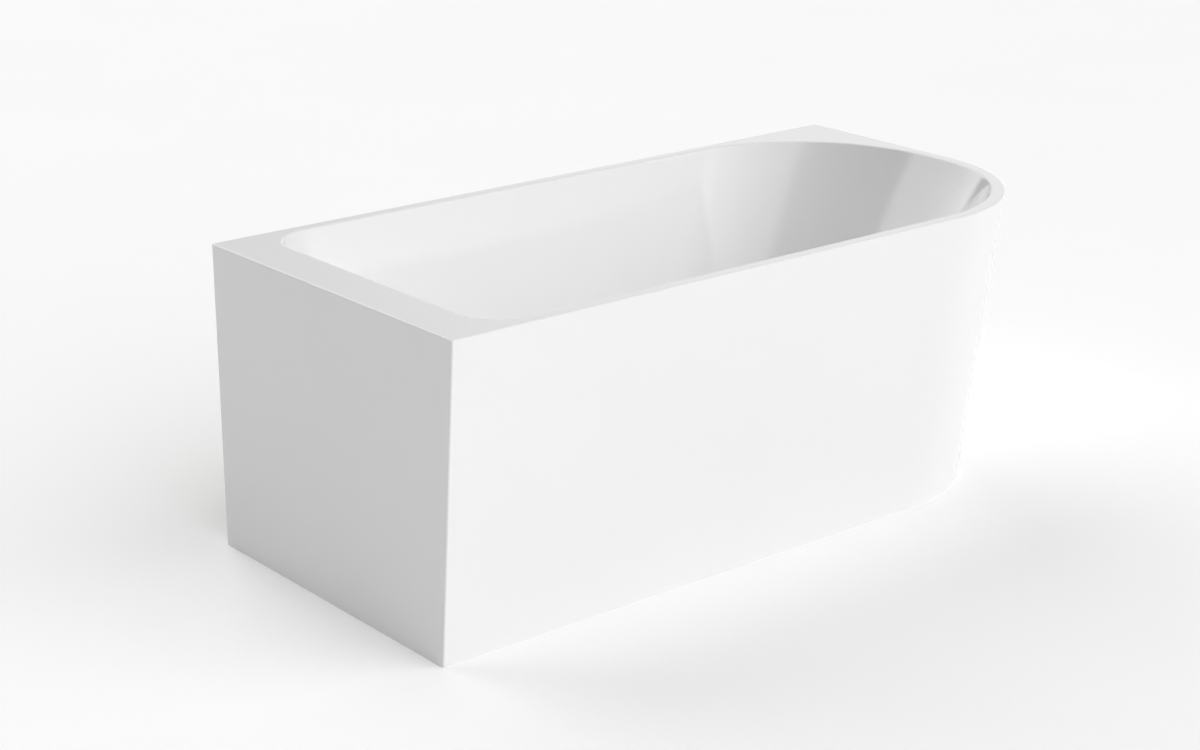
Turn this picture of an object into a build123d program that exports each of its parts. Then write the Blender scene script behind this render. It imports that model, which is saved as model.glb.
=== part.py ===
"""Back-to-wall freestanding bathtub with one rounded corner, as an assembly of separate pieces.

Millimetres. +X runs along the bath towards the rounded end, +Y towards the wall, +Z up.
The origin is on the floor, in the middle of the bath's footprint.
"""

from build123d import *
import os
from math import hypot, radians, tan

os.makedirs("parts", exist_ok=True)

# Overall size
length = 1550
width = 750
height = 600

# Skirt, the outer casing: its front and its right end lean in towards the floor
skirt_lean = 45
corner_step = 22
edge_radius = 4
skirt_thickness = 6
return_flange = 40

# Bath shell: rim, ledge and bowl in one moulding
shell_thickness = 6
ledge_width = 97
side_rim = 26
head_rim = 25
rim_edge_fillet = 3
bowl_edge_fillet = 6
back_lip_depth = 40

# Bowl: each slope is the inward run of a wall for each mm of depth
floor_height = 165
foot_corner_radius = 90
head_straight = 42
side_slope = 0.246
head_slope = 0.682
foot_slope = 0.30
floor_fillet = 70
floor_fall = 0.5
waste_setback = 118

# Boards and adhesive
base_board_thickness = 15
base_board_corner = 60
board_side_margin = 62
board_head_margin = 73
board_reach = 50
board_notch = 130
ledge_board_thickness = 12
ledge_board_width = 55
ledge_board_end_gap = 75
bond_width = 12
bond_depth = 10

# Steel frame of square tube
tube = 25
tube_wall = 2
upright_tube = 20
tube_bore = tube - 2 * tube_wall
front_rail_gap = 37
left_gap = 39
rail_past_corner = 55
back_rail_right_gap = 85
wall_gap = 1
seat_gap = 0.1
bar_from_waste = 120
bar_from_board_end = 50
upright_inset = 175
upright_pad = 4
end_cap_head = 3
end_cap_plug = 15

# Levelling feet
foot_travel = 21
thread_diameter = 12
stem_hole_clearance = 1
stem_chamfer = 1
nut_across_flats = 19
weld_nut_height = 10
jam_nut_height = 7
foot_inset = 30
pad_diameter = 50
pad_rim_height = 6
pad_step = 3
pad_hub_diameter = 24
pad_height = 22
stem_pin_diameter = 10
stem_collar_height = 8
thread_spare = 1

# Fasteners
screw_diameter = 5
screw_head_diameter = 11
screw_head_height = 3
board_screw_grip = 11
board_screw_inset = 60
bracket_screw_length = 14
bracket_width = 40
bracket_thickness = 3
bracket_rise = 45
bracket_left_inset = 215
bracket_right_inset = 220
end_bracket_inset = 225

# Waste
waste_hole_diameter = 52
land_diameter = 84
land_depth = 1
boss_depth = 6
flange_diameter = 72
flange_thickness = 3
flange_edge = 1
flange_bevel = 3
tail_diameter = 47.5
tail_bore = 41
tail_length = 43
tail_below_thread = 8
upper_seal_thickness = 2
lower_seal_thickness = 3
seal_width = 7
seat_diameter = 52
seat_depth = 2.6
plug_travel = 9
cap_diameter = 60
cap_edge = 1.6
cap_dome = 3.2
plug_seal_thickness = 2.4
plug_stem_diameter = 6
plug_stem_tail = 5
plug_collar_thickness = 2
cartridge_diameter = 14
cartridge_depth = 40
cartridge_drop = 9.7
cartridge_wall = 2
cartridge_end = 3
spring_wall = 1.2
spider_arm = 3
spider_height = 6
body_flange_diameter = 76
body_flange_thickness = 5
chamber_diameter = 62
chamber_wall = 4
neck_diameter = 46
neck_bore = 40
neck_length = 15
branch_drop = 38
hose_diameter = 28
hose_wall = 2
hose_gap = 1
branch_reach = 30

# Overflow
overflow_drop = 70
overflow_hole_diameter = 52
overflow_gasket_thickness = 3
overflow_body_diameter = 64
overflow_body_depth = 46
overflow_body_wall = 3
overflow_spigot_length = 22
overflow_cover_diameter = 68
overflow_cover_depth = 9
overflow_cover_wall = 2
overflow_cover_fillet = 2.5
overflow_cover_gap = 4
overflow_boss_diameter = 16
overflow_screw_diameter = 6
overflow_screw_head = 12
overflow_screw_head_height = 3
hose_stand_off = 32
hose_bend = 108
hose_nut_diameter = 36
hose_nut_length = 20

# Trap
trap_seal_thickness = 2
trap_collar_diameter = 44.6
trap_collar_thickness = 4
trap_nut_diameter = 60
trap_nut_lip = 3
trap_inlet_diameter = 40
trap_cup_diameter = 92
trap_cup_wall = 3
trap_cup_top_gap = 3
trap_cup_floor = 11
dip_gap = 10
clean_out_diameter = 56
clean_out_height = 6
clean_out_plug = 44
pipe_diameter = 40
pipe_wall = 2
socket_wall = 3
socket_reach = 62
pipe_end = 290
pipe_mark = 60
mark_depth = 0.5
outlet_nut_diameter = 58
outlet_nut_length = 24
outlet_seal_length = 5

# Clearances
running = 0.05
apart = 0.3

# How far cutters and lofts run past what they cut or meet
overshoot = 25

# Places worked out from the sizes
left = -length / 2
right = length / 2
front = -width / 2
back = width / 2
fall = tan(radians(floor_fall))
bowl_depth = height - floor_height
rim_underside = height - shell_thickness
head_corner_radius = width / 2 - side_rim - head_straight / 2
corner_radius = head_corner_radius + corner_step
waste_x = left + ledge_width + foot_slope * bowl_depth + waste_setback
deep = bowl_depth + overshoot
board_drop = shell_thickness + base_board_thickness
board_start = waste_x - board_reach
board_end = right - head_rim - head_slope * bowl_depth - board_head_margin
board_half_width = width / 2 - side_rim - side_slope * bowl_depth - board_side_margin
first_bar = waste_x + bar_from_waste
last_bar = board_end - bar_from_board_end
bar_places = (first_bar, (first_bar + last_bar) / 2, last_bar)
upright_places = (left + upright_inset, 0, right - upright_inset)
front_rail_right_end = right - corner_radius + rail_past_corner
first_bracket = left + bracket_left_inset
last_bracket = front_rail_right_end - bracket_right_inset
bracket_places = (first_bracket, (first_bracket + last_bracket) / 2, last_bracket)
end_bracket_places = (front + end_bracket_inset, back - end_bracket_inset)
back_face = back - wall_gap
back_rail_y = back_face - tube / 2
upright_y = back_face - upright_tube / 2


def floor_plane(drop):
    """The bowl's floor, which falls towards the waste, lowered by drop."""
    tilt = Plane(origin=(waste_x, 0, floor_height)).rotated((0, -floor_fall, 0))
    return tilt.offset(-drop)


def under_floor(x, drop):
    """Height of the floor plane at x, lowered by drop."""
    return floor_height - drop + (x - waste_x) * fall


def lean_at(z):
    """How far the skirt's front and right end have leaned in at height z."""
    return skirt_lean * max(rim_underside - z, 0) / rim_underside


def outline(x_min, x_max, y_min, y_max, radii):
    """A rectangle with a radius at each corner: front left, front right, back right, back left."""
    corners = ((x_min, y_min), (x_max, y_min), (x_max, y_max), (x_min, y_max))
    with BuildSketch() as shape:
        with BuildLine():
            FilletPolyline(*corners, radius=radii, close=True)
        make_face()
    return shape.sketch


def casing_outline(z, inset=0):
    """Plan of the casing at height z, moved inwards by inset."""
    small = max(edge_radius - inset, 0)
    lean = lean_at(z)
    return outline(
        left + inset,
        right - lean - inset,
        front + lean + inset,
        back - inset,
        (small, corner_radius - inset, small, small),
    )


def bowl_outline(depth, spread=0):
    """Plan of the bowl at a depth below the rim, grown by spread."""
    foot = foot_corner_radius + spread
    head = head_corner_radius - side_slope * depth + spread
    return outline(
        left + ledge_width + foot_slope * depth - spread,
        right - head_rim - head_slope * depth + spread,
        front + side_rim + side_slope * depth - spread,
        back - side_rim - side_slope * depth + spread,
        (foot, head, head, foot),
    )


def bar_top(x):
    """Top of a cross bar at x, just under the sloping base board."""
    return under_floor(x - tube / 2, board_drop) - seat_gap


def foot_wall(z, spread):
    """X of the bowl's left wall at height z, moved outwards by spread."""
    return left + ledge_width + foot_slope * (height - z) - spread


def profile(points, x=0.0):
    """A closed outline of (radius, height) points in the XZ plane, beside a vertical axis at x."""
    with BuildSketch(Plane(origin=(x, 0, 0), x_dir=(1, 0, 0), z_dir=(0, -1, 0))) as shape:
        Polygon(*points, align=None)
    return shape.sketch


def square_tube(size):
    """Section of a square tube."""
    with BuildSketch() as shape:
        Rectangle(size, size)
        Rectangle(size - 2 * tube_wall, size - 2 * tube_wall, mode=Mode.SUBTRACT)
    return shape.sketch


def hexagon(across_flats):
    """A hexagon given by the distance across its flats."""
    with BuildSketch() as shape:
        RegularPolygon(radius=across_flats / 2, side_count=6, major_radius=False)
    return shape.sketch


def save(piece, name):
    """Label a finished piece and write it to its own file."""
    piece.label = name
    export_step(piece, f"parts/{name}.step")


# Bath shell

with BuildPart() as bowl_space:
    for depth in (-overshoot, deep):
        with BuildSketch(Plane.XY.offset(height - depth)):
            add(bowl_outline(depth))
    loft(ruled=True)
    split(bisect_by=floor_plane(0), keep=Keep.TOP)
    fillet(bowl_space.faces().sort_by(Axis.Z)[0].edges(), floor_fillet)

with BuildPart() as bowl_outside:
    for depth in (shell_thickness / 2, deep):
        with BuildSketch(Plane.XY.offset(height - depth)):
            add(bowl_outline(depth, shell_thickness))
    loft(ruled=True)
    split(bisect_by=floor_plane(shell_thickness), keep=Keep.TOP)
    fillet(bowl_outside.faces().sort_by(Axis.Z)[0].edges(), floor_fillet + shell_thickness)

overflow_z = height - overflow_drop
overflow_plane = Plane(
    origin=(foot_wall(overflow_z, 0), 0, overflow_z),
    x_dir=(0, 1, 0),
    z_dir=(1, 0, foot_slope),
)
wall_run = shell_thickness / hypot(1, foot_slope)
behind_wall = overflow_plane.offset(-wall_run)
waste_land = floor_height - land_depth
boss_underside = floor_height - shell_thickness - boss_depth
lip_bottom = rim_underside - back_lip_depth

with BuildPart() as basin:
    for z in (rim_underside, height):
        with BuildSketch(Plane.XY.offset(z)):
            add(casing_outline(z))
    loft(ruled=True)
    lip_length = length - 2 * skirt_thickness - lean_at(lip_bottom) - 2 * apart
    with BuildSketch(Plane.XY.offset(rim_underside)):
        with Locations((left + skirt_thickness + apart + lip_length / 2, back - shell_thickness / 2)):
            Rectangle(lip_length, shell_thickness)
    extrude(amount=-back_lip_depth)
    add(bowl_outside.part)
    with BuildSketch(Plane.XY.offset(boss_underside)):
        with Locations((waste_x, 0)):
            Circle(land_diameter / 2)
    extrude(amount=boss_depth + shell_thickness / 2)
    add(bowl_space.part, mode=Mode.SUBTRACT)
    rim_face = basin.faces().sort_by(Axis.Z)[-1]
    fillet(rim_face.outer_wire().edges(), rim_edge_fillet)
    rim_face = basin.faces().sort_by(Axis.Z)[-1]
    fillet(rim_face.inner_wires()[0].edges(), bowl_edge_fillet)
    with BuildSketch(Plane.XY.offset(waste_land)):
        with Locations((waste_x, 0)):
            Circle(land_diameter / 2)
    extrude(amount=2 * land_depth, mode=Mode.SUBTRACT)
    with BuildSketch(Plane.XY.offset(boss_underside)):
        with Locations((waste_x, 0)):
            Circle(waste_hole_diameter / 2)
    extrude(amount=boss_depth + 2 * shell_thickness, mode=Mode.SUBTRACT)
    with BuildSketch(overflow_plane):
        Circle(overflow_hole_diameter / 2)
    extrude(amount=2 * shell_thickness, both=True, mode=Mode.SUBTRACT)
save(basin.part, "basin")

# Skirt, open at the back between two return flanges

with BuildPart() as skirt:
    for z in (0, rim_underside):
        with BuildSketch(Plane.XY.offset(z)):
            add(casing_outline(z))
    loft(ruled=True)
    for z in (0, rim_underside):
        with BuildSketch(Plane.XY.offset(z)):
            add(casing_outline(z, skirt_thickness))
    loft(ruled=True, mode=Mode.SUBTRACT)
    with BuildSketch(Plane.XZ.offset(-back)):
        Polygon(
            (left + return_flange, 0),
            (right - skirt_lean - return_flange, 0),
            (right - return_flange, height),
            (left + return_flange, height),
            align=None,
        )
    extrude(amount=skirt_thickness, mode=Mode.SUBTRACT)
    with BuildSketch(Plane.XZ.offset(-back)):
        Polygon(
            (left + skirt_thickness, lip_bottom - apart),
            (right - skirt_thickness - lean_at(lip_bottom - apart), lip_bottom - apart),
            (right - skirt_thickness, height),
            (left + skirt_thickness, height),
            align=None,
        )
    extrude(amount=skirt_thickness, mode=Mode.SUBTRACT)
save(skirt.part, "skirt")

# Adhesive bead in the corner between skirt and rim

with BuildPart() as rim_bond:
    for z in (rim_underside - bond_depth, rim_underside):
        with BuildSketch(Plane.XY.offset(z)):
            add(casing_outline(z, skirt_thickness))
    loft(ruled=True)
    for z in (rim_underside - bond_depth, rim_underside):
        with BuildSketch(Plane.XY.offset(z)):
            add(casing_outline(z, skirt_thickness + bond_width))
    loft(ruled=True, mode=Mode.SUBTRACT)
    with BuildSketch(Plane.XY.offset(rim_underside)):
        with Locations((0, back)):
            Rectangle(2 * length, 2 * (skirt_thickness + bond_width))
    extrude(amount=-2 * bond_depth, both=True, mode=Mode.SUBTRACT)
save(rim_bond.part, "rim_bond")

# Boards

with BuildPart() as ledge_board:
    ledge_room_start = left + skirt_thickness + bond_width
    ledge_room_end = foot_wall(rim_underside, shell_thickness)
    with BuildSketch(Plane.XY.offset(rim_underside)):
        with Locations(((ledge_room_start + ledge_room_end) / 2, 0)):
            Rectangle(ledge_board_width, width - 2 * ledge_board_end_gap)
    extrude(amount=-ledge_board_thickness)
save(ledge_board.part, "ledge_board")

board_plane = floor_plane(shell_thickness)
board_screw_y = board_half_width - board_screw_inset
board_screw_places = [(x, y) for x in bar_places for y in (-board_screw_y, board_screw_y)]

with BuildPart() as base_board:
    with BuildSketch(board_plane):
        with Locations(((board_end - board_start) / 2 - board_reach, 0)):
            RectangleRounded(board_end - board_start, 2 * board_half_width, base_board_corner)
        with Locations((-board_reach, 0)):
            Rectangle(2 * board_reach + board_notch, board_notch, mode=Mode.SUBTRACT)
    extrude(amount=-base_board_thickness)
    for x, y in board_screw_places:
        with BuildSketch(Plane.XY.offset(bar_top(x))):
            with Locations((x, y)):
                Circle(screw_diameter / 2)
        extrude(amount=board_screw_grip, mode=Mode.SUBTRACT)
save(base_board.part, "base_board")

# Steel frame

rail_top = under_floor(waste_x, board_drop)
rail_z = rail_top - tube / 2
rail_start = left + skirt_thickness + left_gap
front_rail_y = front + skirt_thickness + lean_at(rail_top) + front_rail_gap + tube / 2
bar_start = front_rail_y + tube / 2
bar_end = back_rail_y - tube / 2
bracket_screws_on_rail = [(x, front_rail_y) for x in bracket_places]
left_bar_x = rail_start + tube / 2
bracket_screws_on_bar = [(left_bar_x, y) for y in end_bracket_places]
foot_places = [
    (bar_places[0], bar_start + foot_inset),
    (bar_places[0], bar_end - foot_inset),
    (bar_places[2], bar_start + foot_inset),
    (bar_places[2], bar_end - foot_inset),
    (bar_places[1], 0),
]


def drill(places, diameter, z_from, z_to):
    """Cutters for round holes along Z."""
    with BuildPart() as cutters:
        with BuildSketch(Plane.XY.offset(z_from)):
            with Locations(*places):
                Circle(diameter / 2)
        extrude(amount=z_to - z_from)
    return cutters.part


with BuildPart() as front_rail:
    with BuildSketch(Plane.YZ.offset(rail_start)):
        with Locations((front_rail_y, rail_z)):
            add(square_tube(tube))
    extrude(amount=front_rail_right_end - rail_start)
    add(drill(bracket_screws_on_rail, screw_diameter, rail_z, rail_top), mode=Mode.SUBTRACT)
save(front_rail.part, "front_rail")

with BuildPart() as back_rail:
    with BuildSketch(Plane.YZ.offset(rail_start)):
        with Locations((back_rail_y, rail_z)):
            add(square_tube(tube))
    extrude(amount=right - back_rail_right_gap - rail_start)
save(back_rail.part, "back_rail")

with BuildPart() as left_end_bar:
    with BuildSketch(Plane.XZ.offset(-bar_start)):
        with Locations((left_bar_x, rail_z)):
            add(square_tube(tube))
    extrude(amount=bar_start - bar_end)
    add(drill(bracket_screws_on_bar, screw_diameter, rail_z, rail_top), mode=Mode.SUBTRACT)
save(left_end_bar.part, "left_end_bar")

for number, x in enumerate(bar_places, 1):
    top = bar_top(x)
    with BuildPart() as cross_bar:
        with BuildSketch(Plane.XZ.offset(-bar_start)):
            with Locations((x, top - tube / 2)):
                add(square_tube(tube))
        extrude(amount=bar_start - bar_end)
        screws = [place for place in board_screw_places if place[0] == x]
        add(drill(screws, screw_diameter, top - tube, top), mode=Mode.SUBTRACT)
        feet = [place for place in foot_places if place[0] == x]
        stem_hole = thread_diameter + 2 * stem_hole_clearance
        add(drill(feet, stem_hole, top - tube, top - tube / 2), mode=Mode.SUBTRACT)
    save(cross_bar.part, f"cross_bar_{number}")

upright_top = lip_bottom - upright_pad
for number, x in enumerate(upright_places, 1):
    with BuildPart() as back_upright:
        with BuildSketch(Plane.XY.offset(rail_top)):
            with Locations((x, upright_y)):
                add(square_tube(upright_tube))
        extrude(amount=upright_top - rail_top)
    save(back_upright.part, f"back_upright_{number}")

with BuildPart() as upright_pads:
    with BuildSketch(Plane.XY.offset(upright_top)):
        with Locations(*[(x, upright_y) for x in upright_places]):
            Rectangle(upright_tube, upright_tube)
    extrude(amount=upright_pad)
save(upright_pads.part, "upright_pads")

with BuildPart() as tube_end_caps:
    rail_ends = (
        (rail_start, front_rail_y, -1),
        (front_rail_right_end, front_rail_y, 1),
        (rail_start, back_rail_y, -1),
        (right - back_rail_right_gap, back_rail_y, 1),
    )
    for x, y, way in rail_ends:
        with BuildSketch(Plane.YZ.offset(x)):
            with Locations((y, rail_z)):
                Rectangle(tube, tube)
        extrude(amount=way * end_cap_head)
        with BuildSketch(Plane.YZ.offset(x)):
            with Locations((y, rail_z)):
                Rectangle(tube_bore, tube_bore)
        extrude(amount=-way * end_cap_plug)
save(tube_end_caps.part, "tube_end_caps")

with BuildPart() as board_screws:
    for x, y in board_screw_places:
        top = bar_top(x)
        with BuildSketch(Plane.XY.offset(top - tube)):
            with Locations((x, y)):
                Circle(screw_diameter / 2)
        extrude(amount=tube + board_screw_grip)
        with BuildSketch(Plane.XY.offset(top - tube)):
            with Locations((x, y)):
                add(hexagon(screw_head_diameter))
        extrude(amount=-screw_head_height)
save(board_screws.part, "board_screws")

# Brackets from the frame to the skirt


def skirt_inside(z):
    """Y of the skirt's inner face at height z."""
    return front + lean_at(z) + skirt_thickness


foot_top = rail_top + bracket_thickness
leg_top = rail_top + bracket_rise

with BuildPart() as skirt_brackets:
    for x in bracket_places:
        with BuildSketch(Plane.YZ.offset(x)):
            Polygon(
                (skirt_inside(rail_top), rail_top),
                (front_rail_y + tube / 2, rail_top),
                (front_rail_y + tube / 2, foot_top),
                (skirt_inside(foot_top) + bracket_thickness, foot_top),
                (skirt_inside(leg_top) + bracket_thickness, leg_top),
                (skirt_inside(leg_top), leg_top),
                align=None,
            )
        extrude(amount=bracket_width / 2, both=True)
    panel_inside = left + skirt_thickness
    for y in end_bracket_places:
        with BuildSketch(Plane.XZ.offset(-y)):
            Polygon(
                (panel_inside, rail_top),
                (left_bar_x + tube / 2, rail_top),
                (left_bar_x + tube / 2, foot_top),
                (panel_inside + bracket_thickness, foot_top),
                (panel_inside + bracket_thickness, leg_top),
                (panel_inside, leg_top),
                align=None,
            )
        extrude(amount=bracket_width / 2, both=True)
    screws = bracket_screws_on_rail + bracket_screws_on_bar
    add(drill(screws, screw_diameter, rail_top, foot_top), mode=Mode.SUBTRACT)
save(skirt_brackets.part, "skirt_brackets")

with BuildPart() as bracket_screws:
    with BuildSketch(Plane.XY.offset(foot_top)):
        with Locations(*bracket_screws_on_rail, *bracket_screws_on_bar):
            Circle(screw_diameter / 2)
    extrude(amount=-bracket_screw_length)
    with BuildSketch(Plane.XY.offset(foot_top)):
        with Locations(*bracket_screws_on_rail, *bracket_screws_on_bar):
            add(hexagon(screw_head_diameter))
    extrude(amount=screw_head_height)
save(bracket_screws.part, "bracket_screws")

# Levelling feet: the nut is welded under the bar, the jam nut locks the stem against it


def bar_bottom(place):
    """Underside of the cross bar over a foot."""
    return bar_top(place[0]) - tube


nut_bore = thread_diameter + 2 * running

with BuildPart() as weld_nuts:
    for place in foot_places:
        with BuildSketch(Plane.XY.offset(bar_bottom(place))):
            with Locations(place):
                add(hexagon(nut_across_flats))
                Circle(nut_bore / 2, mode=Mode.SUBTRACT)
        extrude(amount=-weld_nut_height)
save(weld_nuts.part, "weld_nuts")

with BuildPart() as jam_nuts:
    for place in foot_places:
        with BuildSketch(Plane.XY.offset(bar_bottom(place) - weld_nut_height)):
            with Locations(place):
                add(hexagon(nut_across_flats))
                Circle(nut_bore / 2, mode=Mode.SUBTRACT)
        extrude(amount=-jam_nut_height)
save(jam_nuts.part, "jam_nuts")

collar_bottom = pad_height + apart
collar_top = collar_bottom + stem_collar_height
for number, place in enumerate(foot_places, 1):
    stem_top = bar_bottom(place) + foot_travel + thread_spare
    with BuildPart() as foot_stem:
        with BuildSketch(Plane.XY.offset(pad_rim_height + apart)):
            with Locations(place):
                Circle(stem_pin_diameter / 2)
        extrude(amount=pad_height - pad_rim_height)
        with BuildSketch(Plane.XY.offset(collar_bottom)):
            with Locations(place):
                add(hexagon(nut_across_flats))
        extrude(amount=stem_collar_height)
        with BuildSketch(Plane.XY.offset(collar_top)):
            with Locations(place):
                Circle(thread_diameter / 2)
        extrude(amount=stem_top - collar_top)
        chamfer(foot_stem.faces().sort_by(Axis.Z)[-1].edges(), stem_chamfer)
    save(foot_stem.part, f"foot_stem_{number}")

    with BuildPart() as foot_pad:
        with BuildSketch(Plane.XY):
            with Locations(place):
                Circle(pad_diameter / 2)
        extrude(amount=pad_rim_height)
        with BuildSketch(Plane.XY.offset(pad_rim_height)):
            with Locations(place):
                Circle(pad_diameter / 2 - pad_step)
        with BuildSketch(Plane.XY.offset(pad_height)):
            with Locations(place):
                Circle(pad_hub_diameter / 2)
        loft(ruled=True)
        with BuildSketch(Plane.XY.offset(pad_rim_height)):
            with Locations(place):
                Circle(stem_pin_diameter / 2 + running)
        extrude(amount=pad_height, mode=Mode.SUBTRACT)
    save(foot_pad.part, f"foot_pad_{number}")

# Click waste, all turned about the waste's axis

waste_axis = Axis((waste_x, 0, 0), (0, 0, 1))
flange_bottom = waste_land + upper_seal_thickness
flange_top = flange_bottom + flange_thickness
tail_radius = tail_diameter / 2
seal_inner = waste_hole_diameter / 2

with BuildPart() as waste_seal_upper:
    add(profile([
        (seal_inner, waste_land),
        (seal_inner + seal_width, waste_land),
        (seal_inner + seal_width, flange_bottom),
        (seal_inner, flange_bottom),
    ], waste_x))
    revolve(axis=waste_axis)
save(waste_seal_upper.part, "waste_seal_upper")

cartridge_top = waste_land - cartridge_drop
cartridge_bottom = cartridge_top - cartridge_depth
spider_bottom = cartridge_top - cartridge_depth / 2 - spider_height
hub_outer = cartridge_diameter / 2 + spider_arm
spider_span = (tail_bore + tail_diameter) / 2

with BuildPart() as waste_flange:
    add(profile([
        (flange_diameter / 2, flange_bottom),
        (flange_diameter / 2, flange_bottom + flange_edge),
        (flange_diameter / 2 - flange_bevel, flange_top),
        (seat_diameter / 2, flange_top),
        (tail_bore / 2, flange_top - seat_depth),
        (tail_bore / 2, flange_bottom - tail_length),
        (tail_radius, flange_bottom - tail_length),
        (tail_radius, flange_bottom),
    ], waste_x))
    revolve(axis=waste_axis)
    with BuildSketch(Plane.XY.offset(spider_bottom)):
        with Locations((waste_x, 0)):
            Rectangle(spider_span, spider_arm)
            Rectangle(spider_arm, spider_span)
            Circle(hub_outer)
            Circle(cartridge_diameter / 2, mode=Mode.SUBTRACT)
    extrude(amount=spider_height)
save(waste_flange.part, "waste_flange")

with BuildPart() as waste_seal_lower:
    add(profile([
        (seal_inner, boss_underside - lower_seal_thickness),
        (body_flange_diameter / 2, boss_underside - lower_seal_thickness),
        (body_flange_diameter / 2, boss_underside),
        (seal_inner, boss_underside),
    ], waste_x))
    revolve(axis=waste_axis)
save(waste_seal_lower.part, "waste_seal_lower")

body_top = boss_underside - lower_seal_thickness
thread_bottom = flange_bottom - tail_length + tail_below_thread
branch_z = waste_land - branch_drop
chamber_floor = branch_z - hose_diameter / 2 - chamber_wall
neck_end = chamber_floor - neck_length
chamber_radius = chamber_diameter / 2
spigot_radius = hose_diameter / 2 - hose_wall - running
spigot_bore = spigot_radius - hose_wall

with BuildPart() as waste_body:
    add(profile([
        (tail_radius, body_top),
        (body_flange_diameter / 2, body_top),
        (body_flange_diameter / 2, body_top - body_flange_thickness),
        (chamber_radius, body_top - body_flange_thickness),
        (chamber_radius, chamber_floor),
        (neck_diameter / 2, chamber_floor),
        (neck_diameter / 2, neck_end),
        (neck_bore / 2, neck_end),
        (neck_bore / 2, chamber_floor + chamber_wall),
        (chamber_radius - chamber_wall, chamber_floor + chamber_wall),
        (chamber_radius - chamber_wall, thread_bottom),
        (tail_radius, thread_bottom),
    ], waste_x))
    revolve(axis=waste_axis)
    with BuildSketch(Plane.YZ.offset(waste_x - chamber_radius + chamber_wall / 2)):
        with Locations((0, branch_z)):
            Circle(spigot_radius)
    extrude(amount=-branch_reach - chamber_wall / 2)
    with BuildSketch(Plane.YZ.offset(waste_x - tail_radius - running)):
        with Locations((0, branch_z)):
            Circle(spigot_bore)
    extrude(amount=-chamber_radius - branch_reach, mode=Mode.SUBTRACT)
save(waste_body.part, "waste_body")

stem_radius = plug_stem_diameter / 2
chamber_bore = cartridge_diameter / 2 - cartridge_wall
guide_bottom = cartridge_top - cartridge_end
spring_bottom = cartridge_bottom + cartridge_end

with BuildPart() as click_cartridge:
    add(profile([
        (0, cartridge_bottom),
        (cartridge_diameter / 2, cartridge_bottom),
        (cartridge_diameter / 2, cartridge_top),
        (stem_radius + running, cartridge_top),
        (stem_radius + running, guide_bottom),
        (chamber_bore, guide_bottom),
        (chamber_bore, spring_bottom),
        (0, spring_bottom),
    ], waste_x))
    revolve(axis=waste_axis)
save(click_cartridge.part, "click_cartridge")

collar_stop = guide_bottom - apart
plug_collar_top = collar_stop - plug_travel
spring_top = plug_collar_top - plug_collar_thickness
spring_outer = chamber_bore - apart
with BuildPart() as cartridge_spring:
    add(profile([
        (spring_outer - spring_wall, spring_bottom),
        (spring_outer, spring_bottom),
        (spring_outer, spring_top),
        (spring_outer - spring_wall, spring_top),
    ], waste_x))
    revolve(axis=waste_axis)
save(cartridge_spring.part, "cartridge_spring")

cap_underside = flange_top + apart
with BuildPart() as plug_stem:
    add(profile([
        (0, spring_top - plug_stem_tail),
        (stem_radius, spring_top - plug_stem_tail),
        (stem_radius, spring_top),
        (spring_outer, spring_top),
        (spring_outer, plug_collar_top),
        (stem_radius, plug_collar_top),
        (stem_radius, cap_underside),
        (0, cap_underside),
    ], waste_x))
    revolve(axis=waste_axis)
save(plug_stem.part, "plug_stem")

cap_radius = cap_diameter / 2
with BuildPart() as plug_cap:
    with BuildSketch(Plane(origin=(waste_x, 0, 0), x_dir=(1, 0, 0), z_dir=(0, -1, 0))):
        with BuildLine():
            Polyline(
                (0, cap_underside + cap_edge + cap_dome),
                (0, cap_underside),
                (cap_radius, cap_underside),
                (cap_radius, cap_underside + cap_edge),
            )
            RadiusArc(
                (0, cap_underside + cap_edge + cap_dome),
                (cap_radius, cap_underside + cap_edge),
                (cap_radius**2 + cap_dome**2) / (2 * cap_dome),
            )
        make_face()
    revolve(axis=waste_axis)
save(plug_cap.part, "plug_cap")

seal_top_radius = seat_diameter / 2 - 2 * apart
seal_bottom_radius = tail_bore / 2 + apart
with BuildPart() as plug_seal:
    add(profile([
        (stem_radius, cap_underside - plug_seal_thickness),
        (seal_bottom_radius, cap_underside - plug_seal_thickness),
        (seal_top_radius, cap_underside),
        (stem_radius, cap_underside),
    ], waste_x))
    revolve(axis=waste_axis)
save(plug_seal.part, "plug_seal")

# Overflow, built square to the bowl's left wall

wall_to_boss = wall_run + overflow_gasket_thickness
body_front = behind_wall.offset(-overflow_gasket_thickness)
body_back = body_front.offset(-overflow_body_depth)
overflow_radius = overflow_body_diameter / 2

with BuildPart() as overflow_gasket:
    with BuildSketch(behind_wall):
        Circle(overflow_radius)
        Circle(overflow_hole_diameter / 2, mode=Mode.SUBTRACT)
    extrude(amount=-overflow_gasket_thickness)
save(overflow_gasket.part, "overflow_gasket")

wall_up = Vector(-foot_slope, 0, 1).normalized()
wall_out = Vector(1, 0, foot_slope).normalized()
spigot_start = behind_wall.origin - wall_out * hose_stand_off
hose_start = spigot_start - wall_up * (overflow_radius + hose_gap)
spigot_plane = Plane(origin=spigot_start, x_dir=(0, 1, 0), z_dir=-wall_up)

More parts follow.
